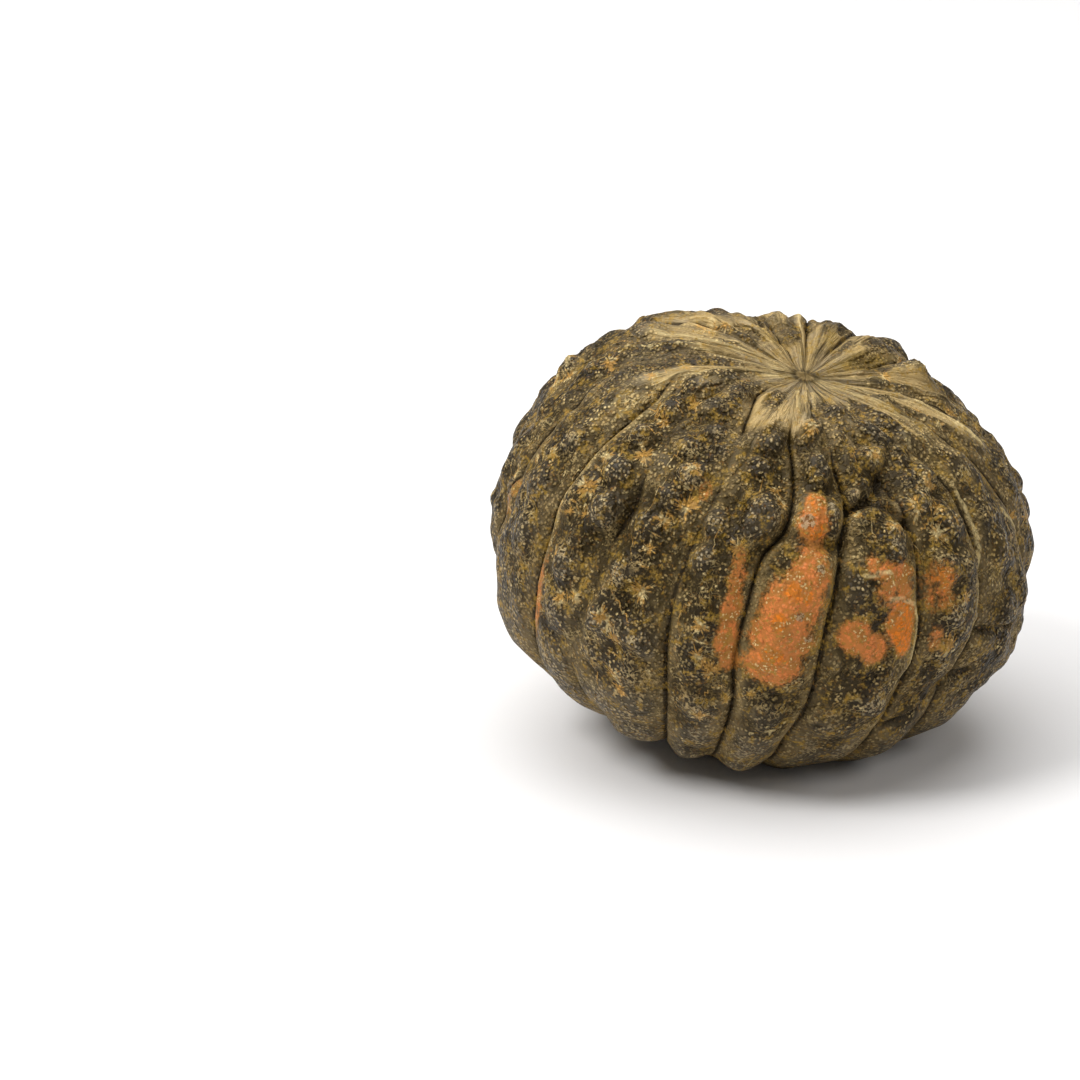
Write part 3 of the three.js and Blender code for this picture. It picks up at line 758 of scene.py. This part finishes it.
def spot_places(here):
    """Where each place lies round its nearest starry spot, in radii, and the number of that spot."""
    nearest = np.full(here.shape[:-1], SPOT_EDGE)
    places = np.zeros(here.shape)
    places[..., 0] = SPOT_EDGE
    for number, (start, turn, radius) in enumerate(all_spots()):
        across = here @ direction(90, turn + 90) * ARM / radius
        length = here @ direction(start + 90, turn) * ARM / radius
        apart = apart_from(here, direction(start, turn)) / radius
        nearer = apart < nearest
        nearest[nearer] = apart[nearer]
        places[nearer] = np.stack((across[nearer], length[nearer], np.full(nearer.sum(), number)), -1)
    return places


def soft_masks(start, turn, places, edge):
    """How much each place belongs to any of the soft ovals, and how much of their own tint it has."""
    mask = np.zeros(np.broadcast(start, turn).shape)
    tint = mask
    for v, u, long, wide, strength, tinted in places:
        reach = np.sqrt(oval_reach(start, turn, (v, u), long, wide))
        here = strength * (1 - smoothstep(reach, *edge))
        mask = np.maximum(mask, here)
        tint = np.maximum(tint, here * tinted)
    return mask, tint


def scab_mask(here):
    mask = 0
    for v, u, radius in SCABS:
        apart = apart_from(here, direction(v, u))
        mask = np.maximum(mask, np.clip(SCAB_EDGE - apart / radius, 0, 1))
    return mask


def pit_mask(start, turn):
    mask = 0
    for v, u, radius, _ in PITS:
        shade = PIT_SHADE * radius
        mask = np.maximum(mask, np.exp(-oval_reach(start, turn, (v, u), shade, shade)))
    return mask


def tube_faces(rings, count):
    """Faces of a closed skin: a point, then rings of equal count, then a point."""
    sides = [(a, (a + 1) % count) for a in range(count)]
    last = 1 + (rings - 1) * count
    faces = [(0, 1 + a, 1 + b) for a, b in sides]
    for ring in range(1, last, count):
        faces += [(ring + a, ring + count + a, ring + count + b, ring + b) for a, b in sides]
    return faces + [(last + count, last + b, last + a) for a, b in sides]


def with_ends(values):
    """Values for every vertex of a skin, from a grid of them: the end points take their rings' mean."""
    flat = values.reshape(values.shape[0] * values.shape[1], *values.shape[2:])
    return np.concatenate([values[0].mean(0)[None], flat, values[-1].mean(0)[None]])


def add_object(name, data):
    made = bpy.data.objects.new(name, data)
    bpy.context.scene.collection.objects.link(made)
    return made


def build_mesh(name, rings, ends, **fields):
    """A smooth closed piece in metres. Each field has a value for every point of its rings."""
    points = np.concatenate([ends[:1], rings.reshape(-1, 3), ends[1:]]) / 1000
    mesh = bpy.data.meshes.new(name)
    mesh.from_pydata(points.tolist(), [], tube_faces(rings.shape[0], rings.shape[1]))
    mesh.polygons.foreach_set("use_smooth", [True] * len(mesh.polygons))
    for key, grid in fields.items():
        values = with_ends(grid).astype(np.float32)
        kind, part = ("FLOAT_VECTOR", "vector") if values.ndim == 2 else ("FLOAT", "value")
        layer = mesh.attributes.new(key, kind, "POINT")
        layer.data.foreach_set(part, values.ravel())
    mesh.validate()
    return add_object(name, mesh)


def make_skin(offset):
    even = np.arange(SKIN_COLUMNS) / SKIN_COLUMNS
    shares = (even + (1 - np.cos(np.pi * even)) / 2) / 2
    start, turn, relief, rib, lip = rib_grid(skin_rows(), shares)
    smooth = smooth_share(start, turn)
    detail, lump = fine_detail(start, turn, rib, smooth)
    line_height, line = raised_lines(start, turn, FOLD_LINES)
    band_height, band = raised_lines(start, turn, BANDS)
    orange, bright = soft_masks(start, turn, ORANGE_PATCHES, ORANGE_EDGE)
    tan, yellow = soft_masks(start, turn, TAN_STREAKS, TAN_EDGE)
    rings = skin_points(start, turn, relief, detail + line_height + band_height) + offset
    ends = [skin_points(np.full((1, 1), pole), np.zeros((1, 1)), 0)[0, 0] + offset for pole in (0.0, 180.0)]
    # Masks for the painted shade in grooves, creases and valleys, and for the painted highlight on lips and
    # lump tops
    deep = np.clip(-relief / FULL_GROOVE, 0, 1)
    fold = crease_depth(start, turn, FINE_FOLDS) / FULL_FOLD
    crease = np.clip(crease_depth(start, turn) / FULL_CREASE, 0, 1) ** 1.6
    groove = np.maximum(bell(rib / GROOVE_WIDTH) * deep, fold)
    skin = build_mesh(
        "pumpkin_skin", rings, ends,
        groove=np.maximum(groove, crease),
        lip=bell((rib - LIP_SHARE) / LIP_WIDTH) * lip,
        valley=bell(rib / VALLEY_SHADE_WIDTH) * deep,
        crest=np.clip(detail / FULL_CREST, -1, 1),
        lump=np.clip(lump / FULL_LUMP, -1, 1),
        smooth=smooth, line=line, band=band, rib=rib,
        orange=orange, bright=bright, tan=tan, yellow=yellow,
        spot=spot_places(direction(start, turn)),
        scab=scab_mask(direction(start, turn)),
        pit=pit_mask(start, turn),
        start=np.broadcast_to(start, turn.shape),
        grain=grain_points(start, turn),
    )
    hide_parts("fruit")
    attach(skin, "root")
    return skin


def cavity_height(radius):
    """Height of the lowest skin of the stem cavity at a distance from its middle."""
    dome = HALF_HEIGHT * (1 - (radius / BODY_RADIUS) ** SQUARENESS) ** (1 / SQUARENESS)
    return STEM_CAVITY[0] * bell(radius / STEM_CAVITY[1]) - dome


def at_height(flat, height):
    """Places on a ring of the stub, with one height for all of them."""
    return np.concatenate((flat, np.full((STEM_SIDES, 1), height)), -1)


def make_stem(offset):
    """The stub: its root follows the floor of the cavity, its sides are ridged and its end is cut."""
    u = 2 * np.pi * np.arange(STEM_SIDES) / STEM_SIDES
    between = 1 - np.abs(np.cos(STEM_ANGLES * u / 2))
    angled = 1 - STEM_ANGLE_DEPTH / STEM_RADIUS * between
    around = np.stack((np.sin(u), -np.cos(u)), -1)
    root = STEM_RADIUS + STEM_FLARE
    root_height = cavity_height(root) - STEM_GAP
    cut_height = cavity_height(0) - STEM_GAP - STEM_LENGTH
    rim_rise, middle_rise, wood_grain = STEM_CUT

    # Each ring has a radius, a height and whether it is cut wood
    rows = []
    for share in np.linspace(0, 1, STEM_ROOT_RINGS + 1)[1:]:
        radius = root * share * angled
        rows.append((radius, cavity_height(radius) - STEM_GAP, 0))
    for share in np.linspace(0, 1, STEM_SIDE_RINGS + 1)[1:]:
        flare = STEM_FLARE * (1 - min(1, share / STEM_FLARE_END)) ** 2
        side = at_height(5 * around, share * 1.6)
        ridges = STEM_RIDGES[0] * smooth_noise(side, 40) + STEM_RIDGES[1] * smooth_noise(side * 2.3, 41)
        width = STEM_RADIUS * (1 - STEM_TAPER * share ** 4) + flare
        rim = width * angled + ridges * min(1, share * 6)
        rows.append((rim, root_height + (cut_height - root_height) * share, share == 1))
    for share in np.linspace(1, 0, STEM_CUT_RINGS + 1)[1:-1]:
        grain = wood_grain * smooth_noise(at_height(7 * share * around, 0), 42)
        rows.append((rim * share, cut_height + middle_rise * (1 - share) ** 2 + rim_rise + grain, 1))

    grid = np.array([np.stack(np.broadcast_arrays(*row), -1) for row in rows], float)
    rings = np.concatenate((grid[..., :1] * around, grid[..., 1:2]), -1)
    ends = np.array(((0, 0, cavity_height(0) - STEM_GAP), (0, 0, cut_height + middle_rise + rim_rise)))
    stem = build_mesh(
        "stem_stub",
        lie_down(rings + SAG_SHIFT * SAG_WAY) + offset,
        lie_down(ends + SAG_SHIFT * SAG_WAY) + offset,
        cut=grid[..., 2],
        own=rings,
    )
    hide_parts("stem")
    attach(stem, "root")
    return stem


class Material:
    """A node material. Each method adds a node and gives its output."""

    def __init__(self, name):
        self.data = bpy.data.materials.new(name)
        self.data.use_nodes = True
        self.tree = self.data.node_tree
        self.surface = self.tree.nodes["Principled BSDF"]

    def node(self, kind, inputs=(), output=0, **settings):
        made = self.tree.nodes.new(kind)
        for key, value in settings.items():
            setattr(made, key, value)
        for key, value in dict(inputs).items():
            self.put(made.inputs[key], value)
        return made.outputs[output]

    def put(self, socket, value):
        if isinstance(value, bpy.types.NodeSocket):
            self.tree.links.new(value, socket)
        else:
            socket.default_value = value

    def attribute(self, name, output="Fac"):
        return self.node("ShaderNodeAttribute", attribute_name=name, output=output)

    def vector(self, operation, a, b=(0, 0, 0), output=0):
        return self.node("ShaderNodeVectorMath", {0: a, 1: b}, output, operation=operation)

    def stretch(self, vector, scale):
        return self.vector("MULTIPLY", vector, scale)

    def place(self):
        """The object's own coordinates in millimetres."""
        return self.stretch(self.node("ShaderNodeTexCoord", output="Object"), (1000,) * 3)

    def noise(self, vector, size, detail=2, roughness=0.5, distortion=0, output="Fac"):
        inputs = {
            "Vector": vector, "Scale": 1 / size, "Detail": detail,
            "Roughness": roughness, "Distortion": distortion,
        }
        return self.node("ShaderNodeTexNoise", inputs, output)

    def streaks(self, vector, across, length, detail, roughness, distortion):
        """Noise drawn out along the third way of a vector."""
        return self.noise(self.stretch(vector, (across, across, length)), 1, detail, roughness, distortion)

    def cells(self, vector, size):
        """Distance to the middle of the nearest of many cells, in their sizes."""
        return self.node("ShaderNodeTexVoronoi", {"Vector": vector, "Scale": 1 / size}, "Distance")

    def warp(self, vector, size, amount):
        """A vector pushed about by noise."""
        push = self.vector("SUBTRACT", self.noise(vector, size, output="Color"), (0.5,) * 3)
        return self.vector("ADD", vector, self.stretch(push, (amount,) * 3))

    def math(self, operation, a, b=0):
        return self.node("ShaderNodeMath", {0: a, 1: b}, operation=operation)

    def times(self, a, b):
        return self.math("MULTIPLY", a, b)

    def plus(self, a, b):
        return self.math("ADD", a, b)

    def swing(self, value, amount):
        """A value about a half, made a swing of the given size about 0."""
        return self.times(self.math("SUBTRACT", value, 0.5), amount)

    def ramp(self, value, low, high, start=0, end=1):
        """Smoothly from start to end while the value goes from low to high."""
        inputs = {"Value": value, "From Min": low, "From Max": high, "To Min": start, "To Max": end}
        return self.node("ShaderNodeMapRange", inputs, interpolation_type="SMOOTHSTEP")

    def mix(self, share, a, b):
        colours = [(*value, 1) if isinstance(value, tuple) else value for value in (a, b)]
        return self.node("ShaderNodeMix", zip((0, 6, 7), (share, *colours)), 2, data_type="RGBA")

    def coat(self, ground, *coats):
        """A colour under coats, each a share and a colour, the last one on top."""
        for share, colour in coats:
            ground = self.mix(share, ground, colour)
        return ground

    def bump(self, height, depth, **normal):
        inputs = {"Height": height, "Distance": depth / 1000, "Strength": 1, **normal}
        return self.node("ShaderNodeBump", inputs)

    def finish(self, **inputs):
        """Set the inputs of the surface, with spaces for the underscores of their names."""
        for key, value in inputs.items():
            self.put(self.surface.inputs[key.replace("_", " ")], value)
        return self.data


# Colours, linear
CHARCOAL = (0.115, 0.083, 0.034)
OLIVE = (0.228, 0.164, 0.066)
BROWN = (0.250, 0.166, 0.060)
# Dark of the pebble creases, also used as painted shade at groove bottoms, in creases and in hollows
DARK = (0.014, 0.008, 0.001)
# Dark brown of streaks and scabs, also used as painted shade between lumps, beside grooves and in streak
# lines
SHADE = (0.058, 0.038, 0.008)
TAN = (0.550, 0.385, 0.155)
PALE = (0.820, 0.640, 0.300)
DUST = (0.400, 0.315, 0.185)
# Pale worn dust, also used as painted highlight on lump tops and low rib crests
WORN_AND_HIGHLIGHT = (0.470, 0.385, 0.250)
SALMON = (0.690, 0.208, 0.052)
BRIGHT = (0.760, 0.195, 0.008)
RUST = (0.320, 0.132, 0.026)
YELLOW = (0.680, 0.360, 0.075)
GOLD = (0.430, 0.285, 0.060)
MUSTARD = (0.340, 0.205, 0.030)
STEM_DARK = (0.090, 0.058, 0.024)
STEM_TAN = (0.270, 0.190, 0.090)
STEM_PALE = (0.430, 0.340, 0.190)
TABLE = (0.84, 0.83, 0.825)
SKY = (1, 0.99, 0.98)


def packed_pebbles(m, place, warped):
    """Fine pebbles and winding threads, larger warts, and pale flecks on some of the pebbles."""
    near = m.cells(m.warp(place, 1.5, 0.8), 1.5)
    large = m.ramp(m.cells(warped, 3), 0.52, 0.16)
    pebbles = m.times(m.ramp(near, 0.62, 0.1), m.ramp(large, 0, 1, 0.55, 1))
    threads = m.ramp(m.math("ABSOLUTE", m.swing(m.noise(warped, 2.2, 1.5), 1)), 0.08, 0)
    threads = m.times(threads, m.ramp(m.noise(place, 9), 0.48, 0.64, 0, 0.6))
    sized = m.plus(near, m.swing(m.noise(place, 1.1, 2, 0.6), 1.1))
    flecks = m.times(m.ramp(sized, 0.44, 0.16), m.ramp(m.noise(place, 3.2, 3, 0.6), 0.42, 0.58))
    return m.math("MAXIMUM", pebbles, threads), large, m.math("MAXIMUM", flecks, threads)


def rind_fields(m):
    """Values over the skin that its colours and its surface share."""
    place = m.place()
    f = SimpleNamespace(place=place, grain=m.attribute("grain", "Vector"))
    for name in ("start", "groove", "crest", "lump", "rib", "smooth"):
        setattr(f, name, m.attribute(name))
    f.low_down = m.ramp(f.start, 94, 112)
    f.near_end = m.ramp(f.start, 34, 58, 1, 0)

    # The dark pebbled lumps, and how calm the pebbles are
    raised = m.plus(m.times(f.rib, 0.7), m.times(f.lump, 0.45))
    f.lumpy = m.ramp(m.plus(raised, m.swing(m.noise(place, 11, 5, 0.65), 1.5)), 0.1, 0.5)
    f.calm = m.times(m.ramp(f.smooth, 0, 1, 1, 0.2), m.ramp(f.low_down, 0, 1, 1, 0.85))
    f.calm = m.times(f.calm, m.ramp(f.lumpy, 0, 1, 0.75, 1))

    # Pebbles, lines and the ragged edges of patches
    warped = m.warp(place, 2.6, 1.6)
    f.grit, f.large, f.flecks = packed_pebbles(m, place, warped)
    f.ragged = m.noise(warped, 1.3, 3, 0.7)
    f.lines = m.streaks(f.grain, 0.12, 0.03, 4, 0.62, 1)
    f.fine_lines = m.streaks(f.grain, 0.34, 0.075, 2, 0.6, 1)
    edge = m.plus(m.swing(m.noise(place, 5, 3, 0.6), 1.7), m.swing(m.noise(place, 1.3, 2, 0.6), 0.9))
    f.torn = m.plus(m.attribute("orange"), edge)
    f.patch = m.ramp(f.torn, 0.32, 0.66)
    return f


def warty_colour(m, f):
    """Charcoal lumps, olive and brown ground between them, pale worn dust with painted highlight on what
    stands out, and painted shade in the hollows between the lumps.
    """
    beside = m.mix(m.ramp(m.noise(f.place, 13, 5, 0.65), 0.4, 0.6), BROWN, OLIVE)
    beside = m.mix(m.ramp(m.noise(f.place, 4, 4, 0.7), 0.4, 0.72, 0, 0.45), beside, TAN)
    # The crests of the ribs low on the fruit, which get pale dust with a painted highlight
    low_crest_highlight = m.times(f.low_down, m.ramp(f.rib, 0.25, 0.75, 0.25, 1))
    patchy = m.ramp(m.noise(f.place, 5, 4, 0.65), 0.36, 0.58, 0.35, 0.85)
    return m.coat(
        m.mix(f.lumpy, beside, CHARCOAL),
        (m.ramp(m.noise(f.place, 5, 3, 0.6), 0.42, 0.7, 0, 0.5), OLIVE),
        (m.ramp(m.noise(f.place, 10, 3, 0.6), 0.46, 0.66, 0, 0.4), DUST),
        # Pale dust with painted highlight on the low rib crests and on the lump tops
        (m.times(low_crest_highlight, 0.55), WORN_AND_HIGHLIGHT),
        (m.times(m.ramp(f.lump, 0.05, 0.75), patchy), WORN_AND_HIGHLIGHT),
        # Painted shade in the hollows between the lumps and warts
        (m.ramp(f.lump, -0.05, -0.6, 0, 0.8), SHADE),
        (m.ramp(f.crest, 0, -0.8, 0, 0.5), SHADE),
    )


def streaked_colour(m, f):
    """Broad tan and brown bands that run out from the blossom end, with thin pale lines and thin dark
    lines, the dark ones in the low places of the raised lines and partly painted shade.
    """
    bands = m.streaks(f.grain, 0.05, 0.014, 4, 0.6, 1.5)
    return m.coat(
        m.mix(m.ramp(bands, 0.44, 0.56), OLIVE, TAN),
        (m.ramp(m.noise(f.grain, 14, 3), 0.44, 0.62, 0, 0.7), DUST),
        (m.ramp(bands, 0.42, 0.34, 0, 0.7), SHADE),
        # Dark lines in the low places of the raised lines: dark brown, partly painted shade
        (m.times(m.ramp(f.lines, 0.44, 0.36, 0, 0.75), m.ramp(f.start, 7, 20, 0.1, 1)), SHADE),
        (m.times(m.ramp(f.fine_lines, 0.58, 0.7, 0, 0.3), m.ramp(f.start, 14, 34)), PALE),
    )


def streak_coats(m, f):
    """The blossom end's smooth ground, tan streaks and raised bands, and thin lines beyond them, the dark
    ones partly painted shade in the low places of the raised lines.
    """
    tan = m.times(m.attribute("tan"), m.ramp(f.lines, 0.34, 0.54, 0.25, 0.75))
    band = m.times(m.ramp(m.attribute("band"), 0.2, 0.8), m.ramp(f.lines, 0.34, 0.5, 0.35, 0.85))
    return (
        (f.smooth, streaked_colour(m, f)),
        (tan, m.mix(m.attribute("yellow"), TAN, GOLD)),
        (band, m.mix(m.ramp(f.fine_lines, 0.45, 0.6), TAN, PALE)),
        # Dark lines in the low places of the raised lines, partly painted shade, and tan lines
        (m.times(f.near_end, m.ramp(f.lines, 0.47, 0.37, 0, 0.55)), SHADE),
        (m.times(f.near_end, m.ramp(f.fine_lines, 0.54, 0.66, 0, 0.4)), TAN),
    )


def pebble_coats(m, f):
    """Dark creases between the pebbles, partly painted shade, tan tops, and pale flecks."""
    flecky = m.times(f.calm, m.ramp(m.noise(f.place, 8), 0.36, 0.6, 0.28, 0.92))
    flecky = m.times(flecky, m.ramp(f.near_end, 0, 1, 1, 0.55))
    return (
        # Dark skin with painted shade in the creases between the pebbles
        (m.times(m.ramp(f.grit, 0.55, 0.1), m.times(f.calm, 0.9)), DARK),
        (m.times(m.ramp(f.grit, 0.45, 0.9), m.times(f.calm, 0.44)), TAN),
        (m.times(f.flecks, flecky), m.mix(m.ramp(m.noise(f.place, 4), 0.5, 0.74), TAN, PALE)),
    )


def groove_coats(m, f):
    """Painted shade beside the grooves, darker painted shade at their bottoms and in the creases, and tan
    with painted highlight on their lips.
    """
    # Painted shade beside the grooves, darkest at their bottoms and in the creases
    groove_shade = m.plus(m.ramp(f.groove, 0.15, 0.85, 0, 0.35), m.ramp(f.groove, 0.65, 0.95, 0, 0.5))
    lip = m.times(m.attribute("lip"), m.ramp(m.noise(f.place, 7, 3), 0.36, 0.6))
    return (
        (m.times(m.attribute("valley"), 0.28), SHADE),
        (groove_shade, DARK),
        # Pale tan on the lips, partly painted highlight
        (m.times(lip, 0.3), TAN),
    )


def star_share(m, ragged):
    """How much each place belongs to a starry spot: its rays are long and short by turns."""
    spot = m.attribute("spot", "Vector")
    number = m.node("ShaderNodeSeparateXYZ", {0: spot}, 2)
    flat = m.stretch(spot, (1, 1, 0))
    apart = m.vector("LENGTH", flat, output=1)
    round_it = m.stretch(m.vector("NORMALIZE", flat), (2.4, 2.4, 0))
    own = m.node("ShaderNodeCombineXYZ", {2: m.times(number, 7.3)})
    rays = m.noise(m.vector("ADD", round_it, own), 1, 3, 0.7)
    reach = m.ramp(rays, 0.36, 0.66, 0.5, 1.6)
    torn = m.plus(m.math("SUBTRACT", reach, apart), m.swing(ragged, 1.2))
    return m.times(m.ramp(torn, 0, 0.4), m.ramp(apart, SPOT_EDGE, SPOT_EDGE * 0.7))


def orange_colour(m, f):
    """Salmon and bright orange with rust and olive clouds and clusters of pale specks, and rust as painted
    shade in the grooves and, partly, between the pebbles.
    """
    blaze = m.plus(m.attribute("bright"), m.swing(m.noise(f.place, 4, 4, 0.65), 2.6))
    sized = m.plus(m.cells(m.warp(f.place, 1.4, 1.2), 1.1), m.swing(m.noise(f.place, 0.9, 2, 0.6), 0.9))
    specks = m.times(m.ramp(sized, 0.42, 0.16), m.ramp(m.noise(f.place, 5, 3, 0.6), 0.5, 0.62))
    return m.coat(
        m.mix(m.ramp(blaze, 0.35, 0.75), SALMON, BRIGHT),
        (m.ramp(m.noise(f.place, 5, 4, 0.65), 0.47, 0.6, 0, 0.85), RUST),
        (m.ramp(m.noise(f.place, 2.2, 3, 0.6), 0.53, 0.64, 0, 0.8), MUSTARD),
        # Rust between the pebbles, partly painted shade
        (m.ramp(f.grit, 0.35, 0, 0, 0.55), RUST),
        (m.times(specks, 0.8), PALE),
        # Rust-coloured painted shade in the grooves
        (m.ramp(f.groove, 0.1, 0.7, 0, 0.85), RUST),
    )


def mark_coats(m, f):
    """Starry spots, orange patches with an olive yellow rim, scabs, hollows with painted shade in them, the
    scar and fold lines.
    """
    star = m.times(star_share(m, f.ragged), m.ramp(f.grit, 0.1, 0.55, 0.45, 0.9))
    halo = m.times(m.ramp(f.torn, 0, 0.38), m.ramp(f.ragged, 0.4, 0.6, 0.35, 0.85))
    scab = m.ramp(m.plus(m.attribute("scab"), m.swing(f.ragged, 1)), 0.45, 0.7)
    line = m.times(m.ramp(m.attribute("line"), 0.25, 0.8), m.ramp(m.noise(f.place, 3, 3), 0.3, 0.5))
    return (
        (star, m.mix(m.ramp(m.noise(f.place, 3), 0.45, 0.62), YELLOW, PALE)),
        (halo, m.mix(m.ramp(m.noise(f.place, 5, 3), 0.45, 0.6), RUST, MUSTARD)),
        (m.times(f.patch, 0.9), orange_colour(m, f)),
        (m.times(scab, 0.7), m.mix(m.ramp(f.ragged, 0.44, 0.56), SHADE, DUST)),
        # Hollows: painted shade in them on warty skin, mustard on smooth skin
        (m.times(m.attribute("pit"), 0.6), m.mix(f.smooth, DARK, MUSTARD)),
        (m.ramp(f.start, 5, 3.4, 0, 0.6), SHADE),
        (m.ramp(f.start, 3, 2, 0, 0.9), TAN),
        (m.times(line, 0.5), PALE),
    )


def rind_relief(m, f):
    """Bumps of the pebbles, the lines near the blossom end, and a fine grain."""
    height = m.times(m.plus(f.grit, m.times(f.large, 0.7)), f.calm)
    height = m.times(height, m.ramp(f.patch, 0, 1, 1, 0.45))
    height = m.plus(height, m.times(f.lines, m.ramp(f.smooth, 0, 1, 0.3, 2.5)))
    fine_share = m.times(m.ramp(f.smooth, 0, 1, 0, 0.9), m.ramp(f.start, 12, 34))
    height = m.plus(height, m.times(f.fine_lines, fine_share))
    return m.bump(height, 1.3, Normal=m.bump(m.noise(f.place, 0.6, 3, 0.6), 0.12))


def rind_material():
    m = Material("rind")
    f = rind_fields(m)
    coats = (*streak_coats(m, f), *pebble_coats(m, f), *groove_coats(m, f), *mark_coats(m, f))
    dull = m.plus(m.ramp(m.noise(f.place, 9, 3), 0.35, 0.65, 0.34, 0.5), m.ramp(f.lumpy, 0, 1, 0.14, 0))
    return m.finish(
        Base_Color=m.coat(warty_colour(m, f), *coats),
        Normal=rind_relief(m, f),
        Roughness=m.plus(dull, m.times(f.low_down, 0.12)),
        Specular_IOR_Level=0.15,
    )


def stem_material():
    """Dry corky wood with long fibres, and a paler cut end with rays round a dark middle."""
    m = Material("dry_stem")
    own = m.attribute("own", "Vector")
    fibres = m.streaks(own, 1.4, 0.12, 4, 0.65, 0.4)
    cork = m.noise(own, 1.6, 4, 0.65)
    middle = m.vector("LENGTH", m.stretch(own, (1, 1, 0)), output=1)
    bark = m.coat(
        m.mix(m.ramp(fibres, 0.38, 0.62), STEM_DARK, STEM_TAN),
        (m.times(m.ramp(cork, 0.48, 0.66), 0.5), DUST),
    )
    wood = m.coat(
        m.mix(m.ramp(m.streaks(own, 0.5, 0.5, 3, 0.6, 0), 0.36, 0.62), STEM_TAN, STEM_PALE),
        (m.ramp(middle, 2.6, 1.6, 0, 0.75), STEM_DARK),
        (m.times(m.ramp(middle, 6.2, 7.2), 0.6), STEM_DARK),
    )
    return m.finish(
        Base_Color=m.mix(m.ramp(m.attribute("cut"), 0.3, 0.7), bark, wood),
        Normal=m.bump(m.plus(fibres, m.times(cork, 0.6)), 0.5),
        Roughness=m.ramp(cork, 0.3, 0.7, 0.72, 0.92),
        Specular_IOR_Level=0.2,
    )


def make_floor():
    """A plain pale table top, far larger than the view."""
    sides = ((-1, -1), (1, -1), (1, 1), (-1, 1))
    mesh = bpy.data.meshes.new("floor")
    mesh.from_pydata([(FLOOR_HALF * x, FLOOR_HALF * y, 0) for x, y in sides], [], ((0, 1, 2, 3),))
    floor = add_object("floor", mesh)
    m = Material("floor")
    mesh.materials.append(m.finish(Base_Color=(*TABLE, 1), Roughness=0.6, Specular_IOR_Level=0.2))


def light_scene():
    for name, place, breadth, power in LAMPS:
        light = bpy.data.lights.new(name, "AREA")
        light.shape = "DISK"
        light.size = breadth
        light.energy = power
        lamp = add_object(name, light)
        lamp.location = place
        lamp.rotation_euler = (Vector(LAMP_AIM) - Vector(place)).to_track_quat("-Z", "Y").to_euler()
    world = bpy.data.worlds.new("studio")
    world.use_nodes = True
    sky = world.node_tree.nodes["Background"]
    sky.inputs["Color"].default_value = (*SKY, 1)
    sky.inputs["Strength"].default_value = SKY_STRENGTH
    bpy.context.scene.world = world


def make_camera(offset):
    """The fruit's middle sits at its pixel of the photograph, at the scale the size was read with."""
    drop = math.radians(CAMERA_DROP)
    up = Vector((0, math.sin(drop), math.cos(drop)))
    back = Vector((0, -math.cos(drop), math.sin(drop)))
    middle = Vector((offset[0], offset[1], CENTRE_HEIGHT))
    aside = (FRUIT_PIXEL[0] - PHOTO_SIZE / 2) * MM_PER_PIXEL
    raised = (FRUIT_PIXEL[1] - PHOTO_SIZE / 2) * MM_PER_PIXEL
    lens = bpy.data.cameras.new("camera")
    lens.sensor_width = SENSOR_WIDTH
    lens.lens = SENSOR_WIDTH * CAMERA_DISTANCE / (MM_PER_PIXEL * PHOTO_SIZE)
    camera = add_object("camera", lens)
    place = middle - Vector((aside, 0, 0)) + up * raised + back * CAMERA_DISTANCE
    camera.location = place / 1000
    camera.rotation_euler = (math.pi / 2 - drop, 0, 0)
    bpy.context.scene.camera = camera


offset = solid_offset()
make_camera(offset)
make_floor()
light_scene()
bpy.context.scene.view_settings.view_transform = "Standard"
skin = make_skin(offset)
skin.data.materials.append(rind_material())
stem = make_stem(offset)
stem.data.materials.append(stem_material())
